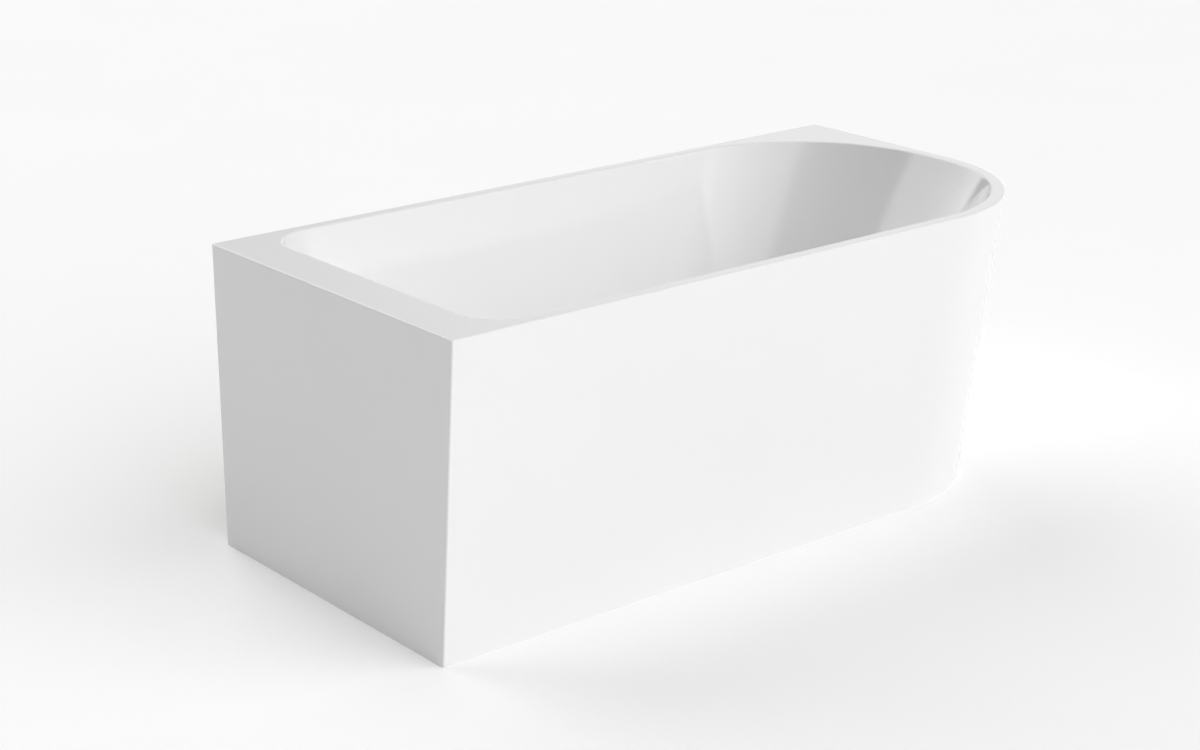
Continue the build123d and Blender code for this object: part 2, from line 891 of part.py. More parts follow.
with BuildPart() as overflow_body:
    with BuildSketch(body_back):
        Circle(overflow_radius)
    extrude(amount=overflow_body_depth)
    with BuildSketch(spigot_plane):
        Circle(spigot_radius)
    extrude(amount=overflow_radius + overflow_spigot_length)
    with BuildSketch(body_back.offset(overflow_body_wall)):
        Circle(overflow_radius - overflow_body_wall)
    extrude(amount=overflow_body_depth, mode=Mode.SUBTRACT)
    with BuildSketch(spigot_plane):
        Circle(spigot_bore)
    extrude(amount=2 * overflow_radius + overflow_spigot_length, mode=Mode.SUBTRACT)
    with BuildSketch(body_back):
        Circle(overflow_boss_diameter / 2)
    extrude(amount=overflow_body_depth)
    with BuildSketch(body_front):
        Circle(overflow_screw_diameter / 2)
    extrude(amount=-overflow_body_depth / 2, mode=Mode.SUBTRACT)
save(overflow_body.part, "overflow_body")

cover_back = overflow_plane.offset(overflow_cover_gap)
cover_front = cover_back.offset(overflow_cover_depth)
with BuildPart() as overflow_cover:
    with BuildSketch(cover_back):
        Circle(overflow_cover_diameter / 2)
    extrude(amount=overflow_cover_depth)
    fillet(overflow_cover.faces().sort_by(Axis.X)[-1].edges(), overflow_cover_fillet)
    with BuildSketch(cover_back):
        Circle(overflow_cover_diameter / 2 - overflow_cover_wall)
    extrude(amount=overflow_cover_depth - overflow_cover_wall, mode=Mode.SUBTRACT)
    with BuildSketch(body_front):
        Circle(overflow_boss_diameter / 2)
    extrude(amount=wall_to_boss + overflow_cover_gap + overflow_cover_depth - overflow_cover_wall / 2)
    with BuildSketch(body_front):
        Circle(overflow_screw_diameter / 2)
    extrude(amount=2 * overflow_body_depth, mode=Mode.SUBTRACT)
    with BuildSketch(cover_front):
        Circle(overflow_screw_head / 2)
    extrude(amount=-overflow_screw_head_height, mode=Mode.SUBTRACT)
save(overflow_cover.part, "overflow_cover")

with BuildPart() as overflow_screw:
    with BuildSketch(cover_front):
        Circle(overflow_screw_head / 2)
    extrude(amount=-overflow_screw_head_height)
    with BuildSketch(cover_front):
        Circle(overflow_screw_diameter / 2)
    extrude(amount=-(overflow_cover_depth + overflow_cover_gap + wall_to_boss + overflow_body_depth / 2))
save(overflow_screw.part, "overflow_screw")

# Hose from the overflow down along the bowl's outside into the waste body

hose_end = Vector(waste_x - chamber_radius - hose_gap, 0, branch_z)
drop_run = (hose_start.Z - branch_z) / wall_up.Z
hose_corner = hose_start - wall_up * drop_run

with BuildPart() as overflow_hose:
    with BuildLine() as hose_path:
        FilletPolyline(hose_start, hose_corner, hose_end, radius=hose_bend)
    with BuildSketch(Plane(origin=hose_start, x_dir=(0, 1, 0), z_dir=-wall_up)):
        Circle(hose_diameter / 2)
        Circle(hose_diameter / 2 - hose_wall, mode=Mode.SUBTRACT)
    sweep()
save(overflow_hose.part, "overflow_hose")

with BuildPart() as hose_nuts:
    for plane in (
        Plane(origin=hose_start, x_dir=(0, 1, 0), z_dir=-wall_up),
        Plane(origin=hose_end, x_dir=(0, 1, 0), z_dir=(-1, 0, 0)),
    ):
        with BuildSketch(plane):
            RegularPolygon(radius=hose_nut_diameter / 2, side_count=12)
            Circle(hose_diameter / 2, mode=Mode.SUBTRACT)
        extrude(amount=hose_nut_length)
save(hose_nuts.part, "hose_nuts")

# Trap: it turns about the waste's axis inside its union nut

inlet_radius = trap_inlet_diameter / 2
neck_radius = neck_diameter / 2
collar_radius = trap_collar_diameter / 2
collar_top_z = neck_end - trap_seal_thickness - apart
collar_under = collar_top_z - trap_collar_thickness
lip_top = collar_under - apart
nut_bottom = lip_top - trap_nut_lip
cup_top = nut_bottom - trap_cup_top_gap
cup_radius = trap_cup_diameter / 2
pipe_radius = pipe_diameter / 2
socket_radius = pipe_radius + socket_wall
outlet_z = cup_top - trap_cup_wall - socket_radius

with BuildPart() as trap_gasket:
    add(profile([
        (inlet_radius - pipe_wall, neck_end - trap_seal_thickness),
        (collar_radius, neck_end - trap_seal_thickness),
        (collar_radius, neck_end),
        (inlet_radius - pipe_wall, neck_end),
    ], waste_x))
    revolve(axis=waste_axis)
save(trap_gasket.part, "trap_gasket")

with BuildPart() as trap_nut:
    with BuildSketch(Plane.XY.offset(nut_bottom)):
        with Locations((waste_x, 0)):
            RegularPolygon(radius=trap_nut_diameter / 2, side_count=10)
            Circle(inlet_radius + apart, mode=Mode.SUBTRACT)
    extrude(amount=chamber_floor - nut_bottom - 2 * apart)
    with BuildSketch(Plane.XY.offset(lip_top)):
        with Locations((waste_x, 0)):
            Circle(neck_radius)
    extrude(amount=chamber_floor - lip_top, mode=Mode.SUBTRACT)
save(trap_nut.part, "trap_nut")

with BuildPart() as trap_body:
    add(profile([
        (0, trap_cup_floor),
        (cup_radius, trap_cup_floor),
        (cup_radius, cup_top),
        (inlet_radius, cup_top),
        (inlet_radius, collar_under),
        (collar_radius, collar_under),
        (collar_radius, collar_top_z),
        (0, collar_top_z),
    ], waste_x))
    revolve(axis=waste_axis)
    with BuildSketch(Plane.XZ):
        with Locations((waste_x, outlet_z)):
            Circle(socket_radius)
    extrude(amount=-socket_reach)
    inside_floor = trap_cup_floor + trap_cup_wall
    dip_bottom = inside_floor + dip_gap
    with BuildSketch(Plane.XY.offset(inside_floor)):
        with Locations((waste_x, 0)):
            Circle(cup_radius - trap_cup_wall)
    extrude(amount=cup_top - trap_cup_wall - inside_floor, mode=Mode.SUBTRACT)
    with BuildSketch(Plane.XZ):
        with Locations((waste_x, outlet_z)):
            Circle(pipe_radius + running)
    extrude(amount=-socket_reach, mode=Mode.SUBTRACT)
    add(profile([
        (inlet_radius - pipe_wall, dip_bottom),
        (inlet_radius, dip_bottom),
        (inlet_radius, cup_top),
        (inlet_radius - pipe_wall, cup_top),
    ], waste_x))
    revolve(axis=waste_axis)
    with BuildSketch(Plane.XY.offset(dip_bottom)):
        with Locations((waste_x, 0)):
            Circle(inlet_radius - pipe_wall)
    extrude(amount=collar_top_z - dip_bottom, mode=Mode.SUBTRACT)
    with BuildSketch(Plane.XY.offset(trap_cup_floor)):
        with Locations((waste_x, 0)):
            Circle(clean_out_plug / 2)
    extrude(amount=trap_cup_wall, mode=Mode.SUBTRACT)
save(trap_body.part, "trap_body")

with BuildPart() as trap_clean_out:
    with BuildSketch(Plane.XY.offset(trap_cup_floor)):
        with Locations((waste_x, 0)):
            RegularPolygon(radius=clean_out_diameter / 2, side_count=12)
    extrude(amount=-clean_out_height)
    with BuildSketch(Plane.XY.offset(trap_cup_floor)):
        with Locations((waste_x, 0)):
            Circle(clean_out_plug / 2)
    extrude(amount=trap_cup_wall)
save(trap_clean_out.part, "trap_clean_out")

outlet_plane = Plane(origin=(waste_x, 0, outlet_z), x_dir=(1, 0, 0), z_dir=(0, 1, 0))

with BuildPart() as trap_outlet_seal:
    with BuildSketch(outlet_plane.offset(socket_reach)):
        Circle(socket_radius)
        Circle(pipe_radius, mode=Mode.SUBTRACT)
    extrude(amount=outlet_seal_length)
save(trap_outlet_seal.part, "trap_outlet_seal")

with BuildPart() as trap_outlet_nut:
    with BuildSketch(outlet_plane.offset(socket_reach + outlet_seal_length + trap_nut_lip)):
        RegularPolygon(radius=outlet_nut_diameter / 2, side_count=10)
        Circle(pipe_radius + running, mode=Mode.SUBTRACT)
    extrude(amount=-outlet_nut_length)
    with BuildSketch(outlet_plane.offset(socket_reach + outlet_seal_length)):
        Circle(socket_radius)
    extrude(amount=-outlet_nut_length, mode=Mode.SUBTRACT)
save(trap_outlet_nut.part, "trap_outlet_nut")

with BuildPart() as trap_outlet_pipe:
    with BuildSketch(outlet_plane.offset(cup_radius)):
        Circle(pipe_radius)
        Circle(pipe_radius - pipe_wall, mode=Mode.SUBTRACT)
    extrude(amount=pipe_end - cup_radius)
    with BuildSketch(outlet_plane.offset(pipe_end - pipe_mark)):
        Circle(pipe_radius)
        Circle(pipe_radius - mark_depth, mode=Mode.SUBTRACT)
    extrude(amount=-mark_depth, mode=Mode.SUBTRACT)
save(trap_outlet_pipe.part, "trap_outlet_pipe")
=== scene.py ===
"""Look of the back-to-wall freestanding bathtub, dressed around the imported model.

Sizes here are in millimetres and turned into metres when a mesh is made.
"""

from math import atan2, cos, pi, radians, sin, tan

import bmesh
import bpy
import numpy as np
from mathutils import Matrix, Vector

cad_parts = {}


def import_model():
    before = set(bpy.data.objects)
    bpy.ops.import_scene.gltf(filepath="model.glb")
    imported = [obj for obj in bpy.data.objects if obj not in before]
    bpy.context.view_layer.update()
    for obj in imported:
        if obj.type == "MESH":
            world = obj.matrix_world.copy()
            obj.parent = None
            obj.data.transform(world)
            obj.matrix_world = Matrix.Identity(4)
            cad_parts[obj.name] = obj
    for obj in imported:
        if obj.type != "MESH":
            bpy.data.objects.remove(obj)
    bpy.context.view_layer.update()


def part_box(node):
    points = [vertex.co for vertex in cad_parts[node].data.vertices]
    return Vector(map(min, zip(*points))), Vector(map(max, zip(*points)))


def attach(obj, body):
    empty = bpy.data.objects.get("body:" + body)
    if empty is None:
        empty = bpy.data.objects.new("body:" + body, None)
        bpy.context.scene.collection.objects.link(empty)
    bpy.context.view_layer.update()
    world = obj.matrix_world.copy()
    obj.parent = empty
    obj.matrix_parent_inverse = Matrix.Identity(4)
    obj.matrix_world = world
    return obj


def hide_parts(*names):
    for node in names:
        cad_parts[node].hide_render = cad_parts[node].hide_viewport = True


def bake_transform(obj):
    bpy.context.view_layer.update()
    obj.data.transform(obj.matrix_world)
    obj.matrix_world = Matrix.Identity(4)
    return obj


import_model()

# Sizes, the same as in the CAD source
LEFT, RIGHT, FRONT, BACK, TOP = -775.0, 775.0, -375.0, 375.0, 600.0
SHEET = 6.0
LEAN = 45.0
CORNER = 350.0
EDGE = 4.0
LEDGE, SIDE_RIM, HEAD_RIM = 97.0, 26.0, 25.0
FOOT_RADIUS, HEAD_RADIUS = 90.0, 328.0
SIDE_SLOPE, HEAD_SLOPE, FOOT_SLOPE = 0.246, 0.682, 0.30
FLOOR_HEIGHT = 165.0
BOWL_DEPTH = TOP - FLOOR_HEIGHT
OVERFLOW_DEPTH = 70.0
WASTE_HOLE, OVERFLOW_HOLE, LAND_RADIUS = 26.0, 26.0, 42.0
FLOOR_FILLET = 70.0
FALL = radians(0.5)
WASTE_X = LEFT + LEDGE + FOOT_SLOPE * BOWL_DEPTH + 118
UNDER_RIM = TOP - SHEET
FLANGE = 40.0
LIP_BOTTOM = UNDER_RIM - FLANGE
GAP = 0.3


# Node trees


class NodeTree:
    """A node tree with short calls for what goes into it."""

    def __init__(self, owner):
        owner.use_nodes = True
        self.tree = owner.node_tree

    def node(self, kind, values=None, **settings):
        """A new node, with values on its sockets and settings on the node itself."""
        made = self.tree.nodes.new("ShaderNode" + kind)
        for key, value in settings.items():
            setattr(made, key, value)
        for key, value in (values or {}).items():
            made.inputs[key].default_value = value
        return made

    def link(self, source, target):
        self.tree.links.new(source, target)

    def math(self, operation, one, other):
        made = self.node("Math", operation=operation)
        self.link(one, made.inputs[0])
        self.link(other, made.inputs[1])
        return made.outputs[0]


class Material(NodeTree):
    """A material whose patterns follow the object; values go on its shader's sockets."""

    def __init__(self, name, **values):
        self.material = bpy.data.materials.new(name)
        super().__init__(self.material)
        self.shader = self.tree.nodes["Principled BSDF"]
        self.place = self.node("TexCoord").outputs["Object"]
        for key, value in values.items():
            self.shader.inputs[key.replace("_", " ")].default_value = value

    def noise(self, scale, detail=3.0, roughness=0.5):
        made = self.node("TexNoise", {"Scale": scale, "Detail": detail, "Roughness": roughness})
        self.link(self.place, made.inputs["Vector"])
        return made.outputs["Fac"]

    def cells(self, scale, stretch=(1, 1, 1), turn=(0, 0, 0)):
        mapping = self.node("Mapping", {"Scale": stretch, "Rotation": turn})
        self.link(self.place, mapping.inputs["Vector"])
        made = self.node("TexVoronoi", {"Scale": scale})
        self.link(mapping.outputs["Vector"], made.inputs["Vector"])
        return made

    def ramp(self, source, stops):
        """Colours along a pattern: each stop is a place from 0 to 1 and a colour."""
        made = self.node("ValToRGB")
        elements = made.color_ramp.elements
        while len(elements) < len(stops):
            elements.new(0.5)
        for element, (at, colour) in zip(elements, stops):
            element.position = at
            element.color = (*colour, 1)
        self.link(source, made.inputs["Fac"])
        return made.outputs["Color"]

    def multiplied(self, one, other, factor):
        made = self.node("Mix", {"Factor": factor}, data_type="RGBA", blend_type="MULTIPLY")
        self.link(one, made.inputs["A"])
        self.link(other, made.inputs["B"])
        return made.outputs["Result"]

    def colour(self, source):
        self.link(source, self.shader.inputs["Base Color"])

    def roughness(self, source, low, high):
        """Roughness from low to high along a pattern."""
        made = self.node("MapRange", {"To Min": low, "To Max": high})
        self.link(source, made.inputs["Value"])
        self.link(made.outputs["Result"], self.shader.inputs["Roughness"])

    def bump(self, source, strength, distance, under=None):
        made = self.node("Bump", {"Strength": strength, "Distance": distance})
        self.link(source, made.inputs["Height"])
        if under is not None:
            self.link(under, made.inputs["Normal"])
        self.link(made.outputs["Normal"], self.shader.inputs["Normal"])
        return made.outputs["Normal"]


# Materials


def plain(name, tint, dark, light, gloss, low, high, relief=None, end=0.7, **values):
    """A mottled material: tint, gloss and relief start with the scale and detail of their noise."""
    m = Material(name, **values)
    m.colour(m.ramp(m.noise(*tint), [(0.3, dark), (end, light)]))
    m.roughness(m.noise(*gloss), low, high)
    if relief:
        scale, detail, strength, distance = relief
        m.bump(m.noise(scale, detail), strength, distance)
    return m.material


def plastic(name, colour, low, high, bump=0.05, scale=260.0):
    dark = tuple(c * 0.94 for c in colour)
    return plain(name, (12.0, 3.0), dark, colour, (40.0, 3.0), low, high, (scale, 2.0, bump, 0.0005), IOR=1.5)


def laminate():
    """Back of an acrylic sheet: chopped glass strands rolled out in resin."""
    m = Material("glass_laminate", IOR=1.52)
    strands = None
    for turn, scale in ((0.3, 55), (1.4, 62), (2.4, 50)):
        strand = m.cells(scale, (1, 7, 1), (turn, turn * 0.7, turn)).outputs["Distance"]
        strands = strand if strands is None else m.math("MINIMUM", strands, strand)
    tone = m.ramp(strands, [(0.05, (0.86, 0.85, 0.80)), (0.45, (0.70, 0.69, 0.63))])
    blotch = m.ramp(m.noise(7.0, 4.0), [(0.3, (0.88, 0.88, 0.86)), (0.75, (1.0, 1.0, 0.99))])
    m.colour(m.multiplied(tone, blotch, 0.8))
    m.roughness(m.noise(30.0), 0.28, 0.62)
    first = m.bump(strands, 0.55, 0.0012)
    m.bump(m.noise(38.0, 5.0, 0.6), 0.5, 0.0015, first)
    return m.material


def galvanised():
    m = Material("galvanised_steel", Metallic=1.0)
    spangle = m.cells(70.0).outputs["Color"]
    m.colour(m.ramp(spangle, [(0.1, (0.44, 0.46, 0.47)), (0.9, (0.60, 0.62, 0.63))]))
    m.roughness(spangle, 0.34, 0.52)
    m.bump(m.noise(160.0), 0.12, 0.0006)
    return m.material


def board():
    """Chipboard: pressed flakes in layers, sawn edges."""
    m = Material("chipboard", IOR=1.45)
    flakes = m.cells(190.0, (1, 1, 2.2))
    browns = [(0.0, (0.40, 0.28, 0.16)), (0.45, (0.58, 0.43, 0.27)), (1.0, (0.72, 0.58, 0.40))]
    tone = m.ramp(flakes.outputs["Color"], browns)
    dust = m.ramp(m.noise(9.0, 5.0), [(0.3, (0.86, 0.86, 0.86)), (0.8, (1.0, 1.0, 1.0))])
    m.colour(m.multiplied(tone, dust, 1.0))
    m.roughness(m.noise(70.0), 0.62, 0.85)
    m.bump(flakes.outputs["Distance"], 0.35, 0.0008)
    return m.material


MATERIALS = {
    "white_acrylic": plain(
        "white_acrylic", (3.0, 2.0), (0.910, 0.902, 0.902), (0.918, 0.911, 0.912),
        (9.0, 4.0), 0.05, 0.09, (9.0, 1.0, 0.02, 0.001), IOR=1.49,
    ),
    "laminate": laminate(),
    "galvanised_steel": galvanised(),
    "board": board(),
    "weld": plain(
        "weld_bead", (150.0, 4.0), (0.26, 0.25, 0.24), (0.50, 0.50, 0.49),
        (110.0, 3.0), 0.35, 0.6, (420.0, 3.0, 0.3, 0.0006), 0.75, Metallic=1.0,
    ),
}
METALS = (
    (
        "zinc_plated", (45.0,), (0.60, 0.59, 0.55), (0.72, 0.71, 0.68),
        (120.0,), 0.22, 0.38, (300.0, 2.0, 0.08, 0.0004),
    ),
    ("chrome_trim", (30.0,), (0.82, 0.83, 0.85), (0.86, 0.87, 0.88), (25.0, 4.0), 0.04, 0.10),
    ("brass_stem", (60.0,), (0.58, 0.44, 0.18), (0.72, 0.56, 0.26), (90.0,), 0.2, 0.36),
)
PLASTICS = (
    ("black_plastic", (0.045, 0.045, 0.05), 0.4, 0.55, 0.12),
    ("rubber_seal", (0.03, 0.03, 0.03), 0.55, 0.8, 0.2, 500.0),
    ("white_plastic", (0.84, 0.84, 0.82), 0.26, 0.4),
    ("grey_hose", (0.68, 0.69, 0.69), 0.3, 0.45),
    ("adhesive", (0.76, 0.74, 0.68), 0.3, 0.5, 0.4, 90.0),
)
for metal in METALS:
    MATERIALS[metal[0]] = plain(*metal, Metallic=1.0)
for kind in PLASTICS:
    MATERIALS[kind[0]] = plastic(*kind)


# Mesh helpers


def smooth(mesh, sharp=32):
    """Smooth shading with edges of more than sharp degrees kept."""
    mesh.polygons.foreach_set("use_smooth", [True] * len(mesh.polygons))
    mesh.set_sharp_from_angle(angle=radians(sharp))


def show(name, data):
    """A new object in the scene."""
    made = bpy.data.objects.new(name, data)
    bpy.context.scene.collection.objects.link(made)
    return made


def piece(name, points, faces, materials, face_slots=None):
    """An object from points in millimetres."""
    mesh = bpy.data.meshes.new(name)
    mesh.from_pydata([tuple(c / 1000 for c in p) for p in points], [], faces)
    for material in materials:
        mesh.materials.append(MATERIALS[material])
    if face_slots is not None:
        mesh.polygons.foreach_set("material_index", face_slots)
    smooth(mesh)
    mesh.update()
    return show(name, mesh)


def finish_piece(made, body, node=None):
    """Keeps flat faces flat beside small roundings, and says what the piece rides on and stands for."""
    modifier = made.modifiers.new("normals", "WEIGHTED_NORMAL")
    modifier.keep_sharp = True
    modifier.weight = 60
    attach(made, body)
    if node:
        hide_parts(node)


def carve(made, part):
    """Cuts a part's shape out of a piece."""
    cutter = weld_poles(piece("cutter", *part, ["white_acrylic"]))
    modifier = made.modifiers.new("cut", "BOOLEAN")
    modifier.object = cutter
    modifier.operation = "DIFFERENCE"
    modifier.solver = "EXACT"
    bpy.context.view_layer.update()
    graph = bpy.context.evaluated_depsgraph_get()
    mesh = bpy.data.meshes.new_from_object(made.evaluated_get(graph))
    made.modifiers.clear()
    made.data = mesh
    smooth(mesh)
    bpy.data.objects.remove(cutter)


def ring_faces(rings, count, closed_along=False):
    """Quads between closed rings of count points each."""
    faces = []
    for r in range(rings if closed_along else rings - 1):
        a, b = r * count, ((r + 1) % rings) * count
        for i in range(count):
            j = (i + 1) % count
            faces.append((a + i, a + j, b + j, b + i))
    return faces


def at_height(xy, z):
    """Plan points with a height, one for all or one each."""
    return np.column_stack([xy, np.broadcast_to(z, len(xy))])


def lathe(profile, centre, steps=96, axis=(0, 0, 1), side=(1, 0, 0)):
    """Points and faces of a closed (radius, height) profile turned about an axis through centre.

    The profile is a list, or a function that gives the list for a turn, counted from side.
    """
    along, side = Vector(axis).normalized(), Vector(side)
    other = along.cross(side)
    points = []
    for k in range(steps):
        turn = 2 * pi * k / steps
        out = side * cos(turn) + other * sin(turn)
        section = profile(turn) if callable(profile) else profile
        points += [tuple(Vector(centre) + out * r + along * h) for r, h in section]
    count = len(section)
    turning = [i for i in range(count) if section[i][0] > 0 or section[(i + 1) % count][0] > 0]
    faces = ring_faces(steps, count, closed_along=True)
    return points, [face for i, face in enumerate(faces) if i % count in turning]


def weld_poles(made):
    """Joins the points that lie together, such as those that a lathe leaves on its axis."""
    work = bmesh.new()
    work.from_mesh(made.data)
    bmesh.ops.remove_doubles(work, verts=work.verts, dist=1e-6)
    bmesh.ops.recalc_face_normals(work, faces=work.faces)
    work.to_mesh(made.data)
    work.free()
    smooth(made.data)
    return made


def rounded(profile, radii, steps=5):
    """A closed polyline with its corners rounded."""
    out = []
    count = len(profile)
    for i in range(count):
        here, radius = Vector(profile[i]), radii[i]
        if radius <= 0:
            out.append(tuple(here))
            continue
        before = (Vector(profile[i - 1]) - here).normalized()
        after = (Vector(profile[(i + 1) % count]) - here).normalized()
        half = before.angle(after) / 2
        centre = here + (before + after).normalized() * (radius / sin(half))
        first = here + before * (radius / tan(half)) - centre
        last = here + after * (radius / tan(half)) - centre
        start = atan2(first.y, first.x)
        turn = (atan2(last.y, last.x) - start + pi) % (2 * pi) - pi
        for k in range(steps + 1):
            angle = start + turn * k / steps
            out.append((centre.x + radius * cos(angle), centre.y + radius * sin(angle)))
    return out


def circle(middle, side, up, radius, steps):
    turns = [2 * pi * k / steps for k in range(steps)]
    return [tuple(middle + side * (radius * cos(t)) + up * (radius * sin(t))) for t in turns]


# Plan outlines with matching points, so that rings of different outlines join up

CORNER_STEPS = (18, 44, 44, 18)
STRAIGHT_STEPS = (30, 14, 30, 14)


def loop(x0, x1, y0, y1, radii):
    """Points and outward directions round a rectangle with rounded corners, from the front left corner."""
    centres = (
        (x0 + radii[0], y0 + radii[0]),
        (x1 - radii[1], y0 + radii[1]),
        (x1 - radii[2], y1 - radii[2]),
        (x0 + radii[3], y1 - radii[3]),
    )
    arcs = []
    for corner, (centre, radius) in enumerate(zip(centres, radii)):
        steps = CORNER_STEPS[corner]
        turn = pi + corner * pi / 2 + np.linspace(0, pi / 2, steps + 1)
        way = np.stack([np.cos(turn), np.sin(turn)], 1)
        arcs.append((np.array(centre) + radius * way, way))
    points, ways = [], []
    for corner in range(4):
        here, there = arcs[corner], arcs[(corner + 1) % 4]
        points.append(here[0])
        ways.append(here[1])
        share = np.linspace(0, 1, STRAIGHT_STEPS[corner] + 1)[1:-1, None]
        points.append(here[0][-1] * (1 - share) + there[0][0] * share)
        ways.append(np.repeat(here[1][-1][None], len(share), 0))
    return np.concatenate(points), np.concatenate(ways)


def bowl_loop(depth, spread=0.0):
    head = HEAD_RADIUS - SIDE_SLOPE * depth + spread
    foot = FOOT_RADIUS + spread
    return loop(
        LEFT + LEDGE + FOOT_SLOPE * depth - spread,
        RIGHT - HEAD_RIM - HEAD_SLOPE * depth + spread,
        FRONT + SIDE_RIM + SIDE_SLOPE * depth - spread,
        BACK - SIDE_RIM - SIDE_SLOPE * depth + spread,
        (foot, head, head, foot),
    )


def lean_at(z):
    return LEAN * max(UNDER_RIM - z, 0) / UNDER_RIM


def casing_loop(z, inset=0.0):
    small = max(EDGE - inset, 0.0)
    lean = lean_at(z)
    return loop(
        LEFT + inset,
        RIGHT - lean - inset,
        FRONT + lean + inset,
        BACK - inset,
        (small, CORNER - inset, small, small),
    )


def chain_round(points):
    """The part of a casing loop from the back left corner, round the front, to the back right."""
    end = sum(CORNER_STEPS[:3]) + sum(STRAIGHT_STEPS[:2])
    return np.concatenate([points[end + STRAIGHT_STEPS[2] :], points[: end + 1]])


def slerp(a, b, share):
    """Turns unit vectors a towards unit vectors b."""
    angle = np.arccos(np.clip((a * b).sum(1), -1, 1))[:, None]
    return (np.sin((1 - share) * angle) * a + np.sin(share * angle) * b) / np.sin(angle)


UP = np.array([0.0, 0.0, 1.0])
FLOOR_UP = np.array([-sin(FALL), 0.0, cos(FALL)])
FLOOR_POINT = np.array([WASTE_X, 0.0, FLOOR_HEIGHT])


class BowlSurface:
    """One face of the bowl's sheet: its walls, the rounding at the floor and the floor's plane."""

    def __init__(self, spread):
        self.start, ways = bowl_loop(0.0, spread)
        self.step = bowl_loop(1.0, spread)[0] - self.start
        slope = (self.step * ways).sum(1)
        size = np.sqrt(1 + slope**2)
        self.out = np.column_stack([ways / size[:, None], slope / size])
        self.fillet = FLOOR_FILLET + spread
        self.floor = FLOOR_POINT - FLOOR_UP * spread

    def wall(self, depth):
        depth = np.broadcast_to(depth, len(self.start))
        return at_height(self.start + self.step * depth[:, None], TOP - depth)

    def floor_depth(self):
        """Depth at which the floor's rounding starts, round the bowl."""
        flat, down = at_height(self.start, TOP), at_height(self.step, -1.0)
        level = self.fillet * (1 + self.out @ FLOOR_UP) + self.floor @ FLOOR_UP - flat @ FLOOR_UP
        return level / (down @ FLOOR_UP)

    def floor_rings(self, steps):
        ends = self.wall(self.floor_depth())
        centre = ends - self.fillet * self.out
        return [centre + self.fillet * slerp(self.out, -FLOOR_UP, k / steps) for k in range(steps + 1)]

    def rim_rings(self, radius, steps):
        """Rounding from the rim's flat top into the wall, ending at the depth returned."""
        depth = radius * (1 + self.out[:, 2])
        centre = self.wall(depth) + radius * self.out
        return [centre + radius * slerp(UP, -self.out, k / steps) for k in range(steps + 1)], depth


def circle_towards(ring, radius, base, normal=UP):
    """A circle about the waste on the plane through base, with points in the directions of a ring's."""
    away = ring[:, :2] - FLOOR_POINT[:2]
    xy = FLOOR_POINT[:2] + radius * away / np.linalg.norm(away, axis=1)[:, None]
    return at_height(xy, base[2] - ((xy - base[:2]) @ normal[:2]) / normal[2])


def box_piece(lows, highs):
    (x0, y0, z0), (x1, y1, z1) = lows, highs
    points = [(x, y, z) for x in (x0, x1) for y in (y0, y1) for z in (z0, z1)]
    faces = [(0, 1, 3, 2), (4, 6, 7, 5), (0, 4, 5, 1), (2, 3, 7, 6), (0, 2, 6, 4), (1, 5, 7, 3)]
    return points, faces


# The two mouldings


def bath_shell():
    """Rim and bowl as rings, over the rim, down to the waste and back underneath."""
    inner, outer = BowlSurface(0.0), BowlSurface(SHEET)
    edge, edge_steps = 3.0, 6
    front = [at_height(casing_loop(UNDER_RIM)[0], UNDER_RIM)]
    for k in range(edge_steps + 1):
        turn = pi / 2 * k / edge_steps
        xy = casing_loop(TOP, edge * (1 - cos(turn)))[0]
        front.append(at_height(xy, TOP - edge * (1 - sin(turn))))
    rim, rim_depth = inner.rim_rings(6.0, 8)
    front += rim
    floor_depth = inner.floor_depth()
    steps = 12
    front += [inner.wall(rim_depth + (floor_depth - rim_depth) * k / steps) for k in range(1, steps)]
    front += inner.floor_rings(14)
    flat_end = front[-1]
    land_edge = circle_towards(flat_end, LAND_RADIUS, FLOOR_POINT, FLOOR_UP)
    front += [flat_end * (1 - share) + land_edge * share for share in (0.35, 0.7, 1.0)]

    def level(radius, z):
        return circle_towards(flat_end, radius, (WASTE_X, 0, z))

    front += [level(LAND_RADIUS, LAND), level(WASTE_HOLE, LAND)]
    back = [level(WASTE_HOLE, BOSS_UNDER), level(LAND_RADIUS, BOSS_UNDER)]
    back.append(circle_towards(flat_end, LAND_RADIUS, outer.floor, FLOOR_UP))
    back += reversed(outer.floor_rings(12))
    start, back_steps = outer.floor_depth(), 8
    back += [outer.wall(start + (SHEET - start) * k / back_steps) for k in range(1, back_steps + 1)]
    rings = front + back
    count = len(flat_end)
    faces = [face[::-1] for face in ring_faces(len(rings), count, closed_along=True)]
    behind = range(len(front), len(rings))
    slots = [int(i // count in behind) for i in range(len(faces))]
    made = piece("bath_shell", np.concatenate(rings), faces, ["white_acrylic", "laminate"], slots)
    carve(made, lathe(tube(0, OVERFLOW_HOLE, -30, 30), OVERFLOW, 64, WALL_OUT, ACROSS))
    finish_piece(made, "bath", "basin")


def back_lip():
    """The rim's turned-down edge along the wall."""
    right = RIGHT - SHEET - lean_at(LIP_BOTTOM) - GAP
    lip = box_piece((LEFT + SHEET + GAP, BACK - SHEET, LIP_BOTTOM), (right, BACK, UNDER_RIM + 0.2))
    finish_piece(piece("back_lip", *lip, ["white_acrylic"]), "bath")


